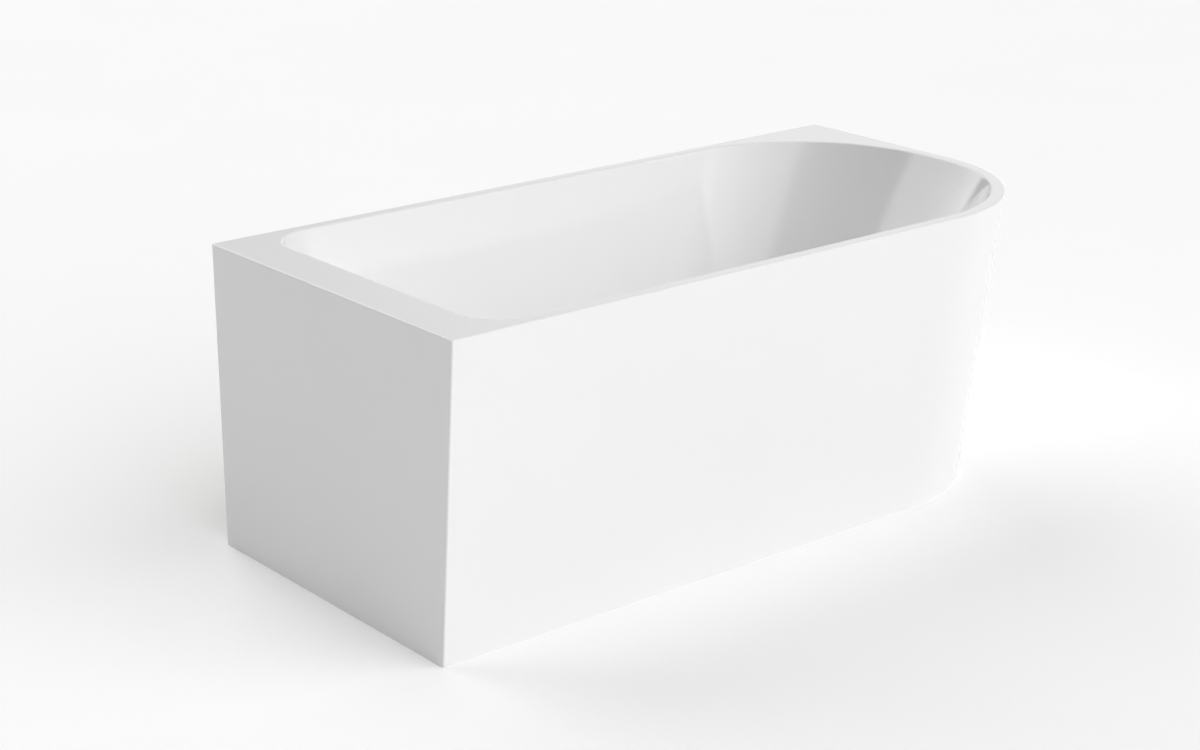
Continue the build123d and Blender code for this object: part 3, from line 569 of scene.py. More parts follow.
def bath_skirt():
    """The casing as a sheet from one back flange round to the other."""
    levels = (*range(0, 600, 120), UNDER_RIM)

    def side(z, inset):
        right_end = RIGHT - FLANGE - LEAN * (TOP - z) / TOP
        ends = [[[x, BACK - inset]] for x in (LEFT + FLANGE, right_end)]
        return at_height(np.concatenate([ends[0], chain_round(casing_loop(z, inset)[0]), ends[1]]), z)

    tall = len(levels)
    sheet = np.stack([side(z, 0) for z in reversed(levels)] + [side(z, SHEET) for z in levels], 1)
    count = 2 * tall
    faces = ring_faces(len(sheet), count)
    slots = [int(tall <= i % count < count - 1) for i in range(len(faces))]
    last = (len(sheet) - 1) * count
    for k in range(tall - 1):
        quad = (k, k + 1, count - 2 - k, count - 1 - k)
        faces += [quad[::-1], tuple(last + i for i in quad)]
        slots += [0, 0]
    made = piece("skirt_shell", sheet.reshape(-1, 3), faces, ["white_acrylic", "laminate"], slots)
    low, right_high = LIP_BOTTOM - GAP, RIGHT - SHEET
    outline = [(LEFT + SHEET, low), (right_high - lean_at(low), low), (right_high, TOP), (LEFT + SHEET, TOP)]
    notch = slab(outline, (0, BACK + 10, 0), (1, 0, 0), (0, 0, 1), SHEET + 10)
    carve(made, notch)
    finish_piece(made, "bath", "skirt")


# Places of the parts underneath

LAND = FLOOR_HEIGHT - 1
BOSS_UNDER = FLOOR_HEIGHT - 12
FLANGE_LOW, FLANGE_TOP = LAND + 2, LAND + 5
TAIL_END = FLANGE_LOW - 43
BODY_TOP = BOSS_UNDER - 3
BRANCH_Z = LAND - 38
CHAMBER_FLOOR = BRANCH_Z - 18
NECK_END = CHAMBER_FLOOR - 15
CARTRIDGE_TOP = LAND - 9.7
CARTRIDGE_LOW = CARTRIDGE_TOP - 40
SPRING_LOW = CARTRIDGE_LOW + 3
COLLAR_TOP = CARTRIDGE_TOP - 12.3
COLLAR_LOW = COLLAR_TOP - 2
CAP_UNDER = FLANGE_TOP + GAP
NUT_LOW = NECK_END - 9.6
CUP_TOP, CUP_LOW = NUT_LOW - 3, 11.0
OUTLET_Z = CUP_TOP - 26
WASTE = (WASTE_X, 0, 0)
OUTLET = (WASTE_X, 0, OUTLET_Z)
PIPE_END = 290.0
THREAD_PITCH = 1.75
NUT_CORNER = 19.0 / 2 / cos(pi / 6)
SCREW_CORNER = 11.0 / 2 / cos(pi / 6)
TAIL_RADIUS = 23.75

WALL_OUT = Vector((1, 0, FOOT_SLOPE)).normalized()
WALL_UP = Vector((-FOOT_SLOPE, 0, 1)).normalized()
ACROSS = (0, 1, 0)
OVERFLOW = Vector((LEFT + LEDGE + FOOT_SLOPE * OVERFLOW_DEPTH, 0, TOP - OVERFLOW_DEPTH))
BEHIND_WALL = -SHEET / Vector((1, FOOT_SLOPE)).length
BODY_FRONT = BEHIND_WALL - 3
BODY_BACK = BODY_FRONT - 46
HOSE_START = OVERFLOW + WALL_OUT * (BEHIND_WALL - 32) - WALL_UP * 33
HOSE_END = Vector((WASTE_X - 32, 0, BRANCH_Z))
HOSE_BEND, HOSE_RADIUS, HOSE_NUT_BORE = 108.0, 14.0, 14.05


def place_of(node):
    """Lowest and highest corner of a CAD node, in millimetres."""
    return np.array([tuple(corner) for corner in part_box(node)]) * 1000


def middle_of(node):
    return place_of(node).mean(0)


def polygon_radius(turn, sides, corner):
    """Distance from the middle of a regular polygon to its edge, in the direction turn."""
    sector = 2 * pi / sides
    return corner * cos(sector / 2) / cos(turn % sector - sector / 2)


def nut_edge(turn, sides, corner, chamfer, steep):
    """Radius of a nut's side, radius of its end face and height of the chamfer between them."""
    out = polygon_radius(turn, sides, corner)
    face = min(out, corner - chamfer)
    return out, face, max(out - face, 0.02) * steep


def nut(low, high, bore, lip=0.5):
    """Section of a hexagon nut as it turns."""

    def section(turn):
        out, face, cut = nut_edge(turn, 6, NUT_CORNER, 1.0, 0.6)
        return [
            (bore, low + lip), (bore + lip, low), (face, low), (out, low + cut),
            (out, high - cut), (face, high), (bore + lip, high), (bore, high - lip),
        ]

    return section


def union_nut(sides, corner, low, high, bore, lip_bore, lip, chamfer=1.2):
    """Section of a union nut: fluted sides, and a wide bore with a lip at its low end."""
    plain_end = 2.5

    def section(turn):
        out, face, cut = nut_edge(turn, sides, corner, chamfer, 0.8)
        flute = out - 0.35 * (abs(sin(turn * sides * 2)) if out < corner - 0.3 else 0)
        return [
            (lip_bore, low), (face, low), (out, low + cut), (flute, low + plain_end),
            (flute, high - plain_end), (out, high - cut), (face, high), (bore, high),
            (bore, low + lip), (lip_bore, low + lip),
        ]

    return section


def sweep(rings, closed=False):
    """Points and faces of rings of points, joined in order, with flat ends unless closed."""
    count = len(rings[0])
    points = np.concatenate(rings)
    faces = ring_faces(len(rings), count, closed_along=closed)
    if not closed:
        faces.append(tuple(range(count - 1, -1, -1)))
        faces.append(tuple(range((len(rings) - 1) * count, len(rings) * count)))
    return points, faces


def joined(parts):
    """Several points and faces as one set."""
    points, faces = [], []
    for some_points, some_faces in parts:
        start = len(points)
        points += [tuple(p) for p in some_points]
        faces += [tuple(start + i for i in f) for f in some_faces]
    return points, faces


def turned(name, node, material, *parts, body="bath"):
    """One piece of turned parts, which stands for a CAD node."""
    made = weld_poles(piece(name, *joined(parts), [material]))
    finish_piece(made, body, node)


def bevelled(name, node, material, width, part):
    """One piece with all its hard edges broken, which stands for a CAD node."""
    made = weld_poles(piece(name, *part, [material]))
    for edge in made.data.edges:
        edge.use_edge_sharp = False
    modifier = made.modifiers.new("broken_edges", "BEVEL")
    modifier.width = width / 1000
    modifier.segments = 2
    modifier.limit_method = "ANGLE"
    modifier.angle_limit = radians(35)
    finish_piece(made, "bath", node)


def swept(name, rings, material, node=None, closed=True):
    """One piece over rings of points, riding on the bath."""
    made = weld_poles(piece(name, *sweep(rings, closed), [material]))
    finish_piece(made, "bath", node)


def slab(outline, origin, across, along, thickness):
    """Solid over an outline of (across, along) points, thickness deep in the third direction."""
    origin, across, along = Vector(origin), Vector(across), Vector(along)
    deep = across.cross(along) * thickness
    near = [origin + across * a + along * b for a, b in outline]
    return sweep([near, [p + deep for p in near]])


def thread(radius, root, low, high, centre, steps=20):
    """A threaded rod about an upright axis, as columns of points round it."""
    pitch = THREAD_PITCH
    turns = int((high - low) / pitch) + 2
    columns = []
    for k in range(steps + 1):
        column = [(0, low), (root, low)]
        for j in range(turns):
            for crest in (0, 1):
                z = low + (j - 1 + k / steps + crest / 2) * pitch
                inside = low < z < high
                column.append((radius if inside and crest else root, min(max(z, low), high)))
        column += [(root, high), (0, high)]
        turn = 2 * pi * k / steps
        columns.append([(centre[0] + r * cos(turn), centre[1] + r * sin(turn), z) for r, z in column])
    points, faces = [p for column in columns for p in column], []
    count = len(columns[0])
    for k in range(steps):
        for i in range(count - 1):
            a, b = k * count + i, (k + 1) * count + i
            faces.append((a, b, b + 1, a + 1))
    return points, faces


# Adhesive and boards


def rim_bond():
    """Bead of adhesive pressed into the corner between skirt and rim."""
    wide, deep, step = 12.0, 10.0, 6.0
    corner, ways = casing_loop(UNDER_RIM, SHEET)
    lower = casing_loop(UNDER_RIM - deep, SHEET)[0]
    rows = chain_round(np.column_stack([corner, lower, ways]))
    lengths = np.linalg.norm(np.diff(rows[:, :2], axis=0), axis=1)
    at = np.concatenate([[0], np.cumsum(lengths)])
    fine = np.arange(0, lengths.sum(), step)
    rings = []
    for s, row in zip(fine, np.column_stack([np.interp(fine, at, column) for column in rows.T])):
        here, low, way = row[:2], row[2:4], row[4:]
        if here[1] >= BACK - SHEET - wide:
            continue
        wave = 0.87 + 0.06 * sin(s / 23) + 0.05 * sin(s / 9.1 + 2)
        ring = [(*here, UNDER_RIM)]
        for k in range(7):
            turn = pi / 2 * k / 6
            across, down = wide * wave * cos(turn) ** 1.4, deep * wave * sin(turn) ** 1.4
            share = down / deep
            xy = here * (1 - share) + low * share - way * across
            ring.append((*xy, UNDER_RIM - down))
        rings.append(ring)
    made = piece("rim_adhesive", *sweep(rings), ["adhesive"])
    smooth(made.data, 60)
    finish_piece(made, "bath", "rim_bond")


def boards():
    """Board under the ledge, and board under the floor with a notch for the waste."""
    bevelled("ledge_stiffener", "ledge_board", "board", 0.6, box_piece(*place_of("ledge_board")))
    low, high = place_of("base_board")
    start, end, half = low[0] - WASTE_X, (high[0] - WASTE_X) / cos(FALL), high[1]
    notch, thickness = 65.0, 15
    outline = [
        (start, -half), (end, -half), (end, half), (start, half),
        (start, notch), (notch, notch), (notch, -notch), (start, -notch),
    ]
    radii = (60, 60, 60, 60, 0.01, 3, 3, 0.01)
    along = (cos(FALL), 0, sin(FALL))
    part = slab(rounded(outline, radii, 10), FLOOR_POINT - FLOOR_UP * SHEET, along, ACROSS, -thickness)
    bevelled("floor_board", "base_board", "board", 0.6, part)


# Welded frame

CROSS_BARS = ("cross_bar_1", "cross_bar_2", "cross_bar_3")
UPRIGHTS = ("back_upright_1", "back_upright_2", "back_upright_3")
BAR_HALF, UPRIGHT_HALF, TUBE_WALL = 12.5, 10.0, 2


def rounded_square(half, radius, steps=4):
    corners = [(half, -half), (half, half), (-half, half), (-half, -half)]
    return rounded(corners, (radius,) * 4, steps)


def square_tube(node):
    """Square tube with rolled corners in the place of a CAD node."""
    low, high = place_of(node)
    middle, reach = (low + high) / 2, (high - low) / 2
    axis = int(np.argmax(reach))
    half = np.delete(reach, axis)[0]
    rings = []
    for edge, radius, ways in ((half, 3.0, (-1, 1)), (half - TUBE_WALL, 1.4, (1, -1))):
        for way in ways:
            end = way * reach[axis]
            rings.append([middle + np.insert(p, axis, end) for p in rounded_square(edge, radius)])
    swept(f"tube_{node}", rings, "galvanised_steel", node)


def weld_bead(name, middle, half, axis, way, top=UNDER_RIM):
    """Rippled bead round the end of a tube, up to the height top; way is the side on which it lies."""
    step, ripple = 0.9, 2.6
    path = []
    corners = rounded_square(half + 0.6, 3.2, 6)
    for i, corner in enumerate(corners):
        a, b = np.array(corner), np.array(corners[(i + 1) % len(corners)])
        steps = max(int(np.linalg.norm(b - a) / step), 1)
        path += [a + (b - a) * k / steps for k in range(steps)]
    path = np.array(path)
    ahead = np.roll(path, -1, 0) - np.roll(path, 1, 0)
    ahead /= np.linalg.norm(ahead, axis=1)[:, None]
    out = np.column_stack([ahead[:, 1], -ahead[:, 0]])
    limit = (np.inf, BACK - 0.5, top)
    rings = []
    for i, (p, o) in enumerate(zip(path, out)):
        radius = 1.9 + 0.28 * sin(i * step * 2 * pi / ripple) + 0.2 * sin(i * step / 7.0)
        ring = []
        for k in range(8):
            turn = 2 * pi * k / 8
            beside = p + o * radius * cos(turn)
            ring.append(np.minimum(middle + np.insert(beside, axis, way + radius * sin(turn) * 0.8), limit))
        rings.append(ring)
    swept(name, rings, "weld")


def steel_frame():
    """Tubes of the frame and the welds where they meet."""
    for node in ("front_rail", "back_rail", "left_end_bar", *CROSS_BARS, *UPRIGHTS):
        square_tube(node)
    rail_top = place_of("back_rail")[1][2]
    for node in ("left_end_bar", *CROSS_BARS):
        for end, y, way in zip(("front", "back"), place_of(node)[:, 1], (1, -1)):
            place = middle_of(node)
            place[1] = y
            weld_bead(f"weld_{node}_{end}", place, BAR_HALF, 1, way, rail_top + GAP)
    for node in UPRIGHTS:
        place = middle_of(node)
        place[2] = place_of(node)[0][2]
        weld_bead(f"weld_{node}", place, UPRIGHT_HALF, 2, 1)


def frame_plugs():
    """Plastic plugs in the ends of the rails and rubber pads on the uprights."""
    thick, number = 3, 0
    for node in ("front_rail", "back_rail"):
        low, high = place_of(node)
        for x in (low[0] - thick, high[0]):
            number += 1
            head = box_piece((x, *low[1:]), (x + thick, *high[1:]))
            bevelled(f"end_cap_{number}", "tube_end_caps", "black_plastic", 1.0, head)
    for number, node in enumerate(UPRIGHTS, 1):
        low, high = place_of(node)
        pad = box_piece((*low[:2], high[2]), (*high[:2], LIP_BOTTOM))
        bevelled(f"upright_pad_{number}", "upright_pads", "rubber_seal", 0.8, pad)


# Brackets and screws

BOARD_SCREW_Y = BACK - SIDE_RIM - SIDE_SLOPE * BOWL_DEPTH - 122
BRACKET_X = (-560.0, -150.0, 260.0)
BRACKET_Y = (-150.0, 150.0)
BRACKET_WIDTH, BRACKET_LEG, BRACKET_SHEET = 40, 45, 3
SCREW_HEAD, SCREW_RADIUS = 3.0, 2.5


def screw(name, node, x, y, under, shank_end, up):
    """Hexagon screw: its head sits on the height under and points up (1) or down (-1)."""
    top = under + up * SCREW_HEAD

    def section(turn):
        out, face, cut = nut_edge(turn, 6, SCREW_CORNER, 0.9, 0.6)
        return [
            (0, top), (face, top), (out, top - up * cut), (out, under),
            (SCREW_RADIUS, under), (SCREW_RADIUS, shank_end), (0, shank_end),
        ]

    turned(name, node, "zinc_plated", lathe(section, (x, y, 0), 48))


def screws():
    """Screws up into the base board and down into the frame."""
    number = 0
    for node in CROSS_BARS:
        low, high = place_of(node)
        for y in (-BOARD_SCREW_Y, BOARD_SCREW_Y):
            number += 1
            screw(f"board_screw_{number}", "board_screws", middle_of(node)[0], y, low[2], high[2] + 10.9, -1)
    top = place_of("front_rail")[1][2]
    places = [(x, middle_of("front_rail")[1]) for x in BRACKET_X]
    places += [(middle_of("left_end_bar")[0], y) for y in BRACKET_Y]
    for number, (x, y) in enumerate(places, 1):
        screw(f"bracket_screw_{number}", "bracket_screws", x, y, top + BRACKET_SHEET, top - 11, 1)


def bracket(name, inside, reach, origin, across):
    """Bent angle from the skirt's inside, which depends on the height, out to reach on the frame."""
    top = place_of("front_rail")[1][2]
    foot, leg = top + BRACKET_SHEET, top + BRACKET_LEG
    outline = [
        (inside(top), top), (reach, top), (reach, foot), (inside(foot) + BRACKET_SHEET, foot),
        (inside(leg) + BRACKET_SHEET, leg), (inside(leg), leg),
    ]
    profile = rounded(outline, (4.5, 0.4, 0.4, 1.8, 0.4, 0.4), 6)
    part = slab(profile, origin, across, (0, 0, 1), BRACKET_WIDTH)
    bevelled(name, "skirt_brackets", "galvanised_steel", 0.4, part)


def brackets():
    """Brackets to the skirt's leaning front and to its upright end."""
    half = BRACKET_WIDTH / 2
    reach = place_of("front_rail")[1][1]
    for number, x in enumerate(BRACKET_X, 1):
        origin = (x - half, 0, 0)
        bracket(f"front_bracket_{number}", lambda z: FRONT + lean_at(z) + SHEET, reach, origin, ACROSS)
    reach = place_of("left_end_bar")[1][0]
    for number, y in enumerate(BRACKET_Y, 1):
        bracket(f"end_bracket_{number}", lambda z: LEFT + SHEET, reach, (0, y + half, 0), (1, 0, 0))


# Levelling feet


def foot(number):
    """Stem, pad and the two nuts of one foot."""
    x, y = middle_of(f"foot_pad_{number}")[:2]
    centre = (x, y, 0)
    stem_top = place_of(f"foot_stem_{number}")[1][2]
    collar, collar_top = 22.3, 30.3
    rod = thread(6.0, 5.05, collar_top, stem_top, centre)
    hexagon = lathe(nut(collar, collar_top, 0.0), centre, 48)
    pin = lathe(tube(0, 5, 6.3, collar), centre, 32)
    turned(f"stem_{number}", f"foot_stem_{number}", "zinc_plated", rod, hexagon, pin, body=f"stem_{number}")
    outline = [(0, 6), (0, 0), (25, 0), (25, 6), (22, 6.6), (12, 22), (5.05, 22), (5.05, 6)]
    profile = rounded(outline, (0, 0, 1.2, 2.0, 3.0, 2.0, 0.5, 0), 4)
    grooves = [(r + out, up) for r in (6.2, 12.2, 18.2) for out, up in ((0, 0), (0.6, 1), (2.0, 1), (2.6, 0))]
    profile[2:2] = grooves
    pad = lathe(profile, centre, 64)
    turned(f"pad_{number}_foot", f"foot_pad_{number}", "black_plastic", pad, body=f"pad_{number}")
    nut_top, nut_low, jam_low, bore = stem_top - 22, stem_top - 32, stem_top - 39, 6.0
    for kind, low, high in (("weld_nut", nut_low, nut_top), ("jam_nut", jam_low, nut_low - 0.05)):
        turned(f"{kind}_{number}", f"{kind}s", "zinc_plated", lathe(nut(low, high, bore), centre, 48))
    bead, steps = [], 72
    for k in range(steps):
        turn = 2 * pi * k / steps
        way = Vector((cos(turn), sin(turn), 0))
        middle = Vector((x, y, nut_top - 0.7)) + way * (polygon_radius(turn, 6, NUT_CORNER) + 0.4)
        bead.append(circle(middle, way, Vector((0, 0, 0.5)), 1.3 + 0.2 * sin(k * 1.9), 6))
    swept(f"weld_nut_bead_{number}", bead, "weld")


# Sections and parts that repeat


def seal(inner, outer, low, high, bulge=0.25):
    """Section of a pressed seal that bulges outwards."""
    middle = (low + high) / 2
    outline = [
        (inner, low), (outer - bulge, low), (outer, middle),
        (outer - bulge, high), (inner, high), (inner + bulge, middle),
    ]
    return rounded(outline, (0.2, 0.3, 0.5, 0.3, 0.2, 0.4), 3)


def tube(inner, outer, low, high):
    """Section of a ring."""
    return [(inner, low), (outer, low), (outer, high), (inner, high)]


def spigot(start, end, centre, way, collar):
    """Closed stub for the hose, with a collar of a given section."""
    out, inside, floor = 11.95, 9.95, start + 2
    stub = [(0, start), (out, start), (out, end), (inside, end), (inside, floor), (0, floor)]
    return [lathe(section, centre, 48, way, ACROSS) for section in (stub, collar)]


def ribs(rib, centre, number, thickness, axis=(0, 0, 1), side=(1, 0, 0)):
    """Ribs with a given (radius, height) section about an axis, the first half a step from side."""
    axis, side, made = Vector(axis), Vector(side), []
    for k in range(number):
        turn = 2 * pi * (k + 0.5) / number
        out = side * cos(turn) + axis.cross(side) * sin(turn)
        origin = Vector(centre) + axis.cross(out) * (thickness / 2)
        made.append(slab(rib, origin, out, axis, thickness))
    return made


# Click waste


def click_waste():
    """Flange with its grate, two seals, the body under the bath and the plug's cartridge."""
    low, high, length, width = CARTRIDGE_LOW + 14, CARTRIDGE_LOW + 20, 21.5, 1.5
    grate = [lathe(tube(7.1, 10, low, high), WASTE, 48)]
    for x, y in ((length, width), (width, length)):
        grate.append(box_piece((WASTE_X - x, -y, low), (WASTE_X + x, y, high)))
    turned("waste_grate", None, "chrome_trim", *grate)
    flange = [
        (36, FLANGE_LOW), (36, FLANGE_LOW + 1), (33, FLANGE_TOP), (26, FLANGE_TOP), (20.5, FLANGE_TOP - 2.6),
        (20.5, TAIL_END), (TAIL_RADIUS, TAIL_END), (TAIL_RADIUS, FLANGE_LOW),
    ]
    flange = rounded(flange, (0.3, 0.5, 2.0, 0.8, 0.8, 0.4, 0.6, 0.01), 5)
    turned("waste_ring", "waste_flange", "chrome_trim", lathe(flange, WASTE, 128))
    turned("seal_upper", "waste_seal_upper", "rubber_seal", lathe(seal(26, 33, LAND, FLANGE_LOW), WASTE))
    turned("seal_lower", "waste_seal_lower", "rubber_seal", lathe(seal(26, 38, BODY_TOP, BOSS_UNDER), WASTE))
    rim_low, inside, sleeve_low = BODY_TOP - 5, CHAMBER_FLOOR + 4, TAIL_END + 8
    body = [
        (TAIL_RADIUS, BODY_TOP), (38, BODY_TOP), (38, rim_low), (31, rim_low), (31, CHAMBER_FLOOR),
        (23, CHAMBER_FLOOR), (23, NECK_END), (20, NECK_END), (20, inside), (27, inside),
        (27, sleeve_low), (TAIL_RADIUS, sleeve_low),
    ]
    body = rounded(body, (0.3, 0.8, 0.8, 2.0, 3.0, 1.5, 0.6, 0.4, 0.5, 1, 1, 0.3), 4)
    rib = [(30, rim_low + 0.1), (37, rim_low + 0.1), (31, BODY_TOP - 16), (30, BODY_TOP - 16)]
    branch = spigot(25, 61, (WASTE_X, 0, BRANCH_Z), (-1, 0, 0), tube(12, 15.5, 26, 31.6))
    parts = [lathe(body, WASTE), *branch, *ribs(rib, WASTE, 10, 1.8)]
    turned("waste_chamber", "waste_body", "white_plastic", *parts)
    neck = CARTRIDGE_TOP - 3
    cartridge = [
        (0, CARTRIDGE_LOW), (7, CARTRIDGE_LOW), (7, CARTRIDGE_TOP), (3.05, CARTRIDGE_TOP),
        (3.05, neck), (5, neck), (5, SPRING_LOW), (0, SPRING_LOW),
    ]
    cartridge = rounded(cartridge, (0, 1, 0.8, 0.3, 0.2, 0.3, 0.4, 0), 3)
    turned("cartridge", "click_cartridge", "white_plastic", lathe(cartridge, WASTE, 48))


def spring():
    """Coil that the plug's collar presses."""
    wire, coil, turns, steps = 0.6, 4.1, 7, 24
    low, high = SPRING_LOW + wire, COLLAR_LOW - wire
    rings = []
    for k in range(turns * steps + 1):
        turn = 2 * pi * k / steps
        share = min(max((k / steps - 1) / (turns - 2), 0), 1)
        out = Vector((cos(turn), sin(turn), 0))
        centre = Vector((WASTE_X, 0, low + (high - low) * share)) + out * coil
        rings.append(circle(centre, out, Vector((0, 0, 1)), wire, 8))
    made = weld_poles(piece("spring_coil", *sweep(rings), ["zinc_plated"]))
    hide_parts("cartridge_spring")
    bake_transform(made)


def plug():
    """Domed cap with a broken edge, its seal and its stem."""
    rim, dome, radius, dome_edge, dome_steps = 1.6, 3.2, 30.0, 29.0, 16
    curve = (radius**2 + dome**2) / (2 * dome)
    centre = CAP_UNDER + rim + dome - curve
    profile = [
        (0, CAP_UNDER + 0.2), (27, CAP_UNDER + 0.2), (27.4, CAP_UNDER), (29.5, CAP_UNDER),
        (radius, CAP_UNDER + 0.5), (radius, CAP_UNDER + rim - 0.5), (29.7, CAP_UNDER + rim - 0.05),
    ]
    for k in range(dome_steps + 1):
        r = dome_edge * (1 - k / dome_steps)
        profile.append((r, centre + np.sqrt(curve**2 - r**2)))
    turned("plug_dome", "plug_cap", "chrome_trim", lathe(profile, WASTE, 128), body="plug")
    lips = [
        (3, CAP_UNDER - 2.4), (20.8, CAP_UNDER - 2.4), (22.2, CAP_UNDER - 1.4),
        (23.4, CAP_UNDER - 1.3), (25.4, CAP_UNDER), (3, CAP_UNDER),
    ]
    lips = rounded(lips, (0.1, 0.5, 0.5, 0.5, 0.4, 0.01), 3)
    turned("plug_ring_seal", "plug_seal", "rubber_seal", lathe(lips, WASTE), body="plug")
    stem, collar, stem_low = 3, 4.7, COLLAR_LOW - 5
    rod = [
        (0, stem_low), (stem, stem_low), (stem, COLLAR_LOW), (collar, COLLAR_LOW),
        (collar, COLLAR_TOP), (stem, COLLAR_TOP), (stem, CAP_UNDER), (0, CAP_UNDER),
    ]
    rod = rounded(rod, (0, 0.5, 0.2, 0.3, 0.3, 0.2, 0, 0), 3)
    turned("plug_rod", "plug_stem", "brass_stem", lathe(rod, WASTE, 48), body="plug")


# Overflow


def overflow():
    """Cover and screw in the bowl, gasket and body behind its wall."""

    def about_wall(profile, steps=96):
        return lathe(profile, OVERFLOW, steps, WALL_OUT, ACROSS)

    plate, screw_end = 34, BODY_FRONT - 23
    cover = [
        (plate, 4), (plate, 13), (6, 13), (6, 10), (3, 10), (3, BODY_FRONT),
        (8, BODY_FRONT), (8, 11), (plate - 2, 11), (plate - 2, 4),
    ]
    cover = rounded(cover, (0.5, 2.5, 0.3, 0.2, 0.2, 0.2, 0.5, 1, 1.2, 0.4), 6)
    turned("overflow_plate", "overflow_cover", "chrome_trim", about_wall(cover, 128))

    def bolt(turn):
        key = polygon_radius(turn, 6, 2.0 / cos(pi / 6))
        return [
            (0, 10.9), (key, 11), (key, 12.7), (key + 0.3, 13), (5.3, 13), (5.95, 12.4),
            (5.95, 10.02), (2.95, 10.02), (2.95, screw_end + 0.2), (0, screw_end + 0.2),
        ]

    turned("overflow_bolt", "overflow_screw", "zinc_plated", about_wall(bolt, 48))
    ring = seal(26, 32, BODY_FRONT, BEHIND_WALL)
    turned("overflow_seal", "overflow_gasket", "rubber_seal", about_wall(ring))
    inside = BODY_BACK + 3
    body = [
        (0, BODY_BACK), (32, BODY_BACK), (32, BODY_FRONT), (29, BODY_FRONT), (29, inside),
        (8, inside), (8, BODY_FRONT), (3, BODY_FRONT), (3, screw_end), (0, screw_end),
    ]
    parts = [about_wall(rounded(body, (0, 4, 0.8, 0.5, 1.5, 1.5, 0.3, 0.3, 0.2, 0), 5))]
    parts += spigot(28, 53.9, OVERFLOW + WALL_OUT * (BEHIND_WALL - 32), -WALL_UP, tube(12, 16, 28, 32.7))
    parts += [about_wall(tube(31.5, 32.6, h, h + 2.2)) for h in (BODY_FRONT - 6, BODY_FRONT - 12)]
    parts += ribs(tube(10, 28, BODY_BACK - 1.2, BODY_BACK + 1), OVERFLOW, 12, 1.6, WALL_OUT, ACROSS)
    turned("overflow_housing", "overflow_body", "white_plastic", *parts)


def hose():
    """Ribbed hose: straight down the wall, one bend, straight into the waste, with a nut at each end."""
    corner = HOSE_START - WALL_UP * ((HOSE_START.z - BRANCH_Z) / WALL_UP.z)
    run, ahead = (corner - HOSE_START).normalized(), (HOSE_END - corner).normalized()
    half = (-run).angle(ahead) / 2
    reach = HOSE_BEND / tan(half)
    first, last = corner - run * reach, corner + ahead * reach
    centre = corner + (ahead - run).normalized() * (HOSE_BEND / sin(half))
    spoke = (first - centre).normalized()
    straight = (first - HOSE_START).length
    bend_end = straight + HOSE_BEND * (pi - 2 * half)
    total = bend_end + (HOSE_END - last).length
    pitch, valley, plain_end, steps = 4.2, 1.5, 21.0, 8
    ribbed = total - 2 * plain_end
    ribs = round(ribbed / pitch)
    places = [plain_end + 0.01 + (ribbed - 0.02) * k / (ribs * steps) for k in range(ribs * steps + 1)]
    rings = []
    for s in (0.0, plain_end, *places, total - plain_end, total):
        if s <= straight:
            middle, way = HOSE_START + run * s, run
        elif s <= bend_end:
            turn = (s - straight) / HOSE_BEND
            middle = centre + (spoke * cos(turn) + run * sin(turn)) * HOSE_BEND
            way = run * cos(turn) - spoke * sin(turn)
        else:
            middle, way = last + ahead * (s - bend_end), ahead
        inside = plain_end < s < total - plain_end
        wave = 0.5 - 0.5 * cos(2 * pi * ribs * (s - plain_end) / ribbed) if inside else 0
        side = Vector(ACROSS)
        rings.append(circle(middle, side, way.cross(side), HOSE_RADIUS - valley * wave**2, 32))
    swept("ribbed_hose", rings, "grey_hose", "overflow_hose", closed=False)
    section = union_nut(12, 18.0, 0.0, 20.0, HOSE_NUT_BORE, HOSE_NUT_BORE, 2.0, 0.7)
    for number, (start, way) in enumerate(((HOSE_START, -WALL_UP), (HOSE_END, (-1, 0, 0))), 1):
        turned(f"hose_nut_{number}", "hose_nuts", "white_plastic", lathe(section, start, 144, way, ACROSS))


# Trap


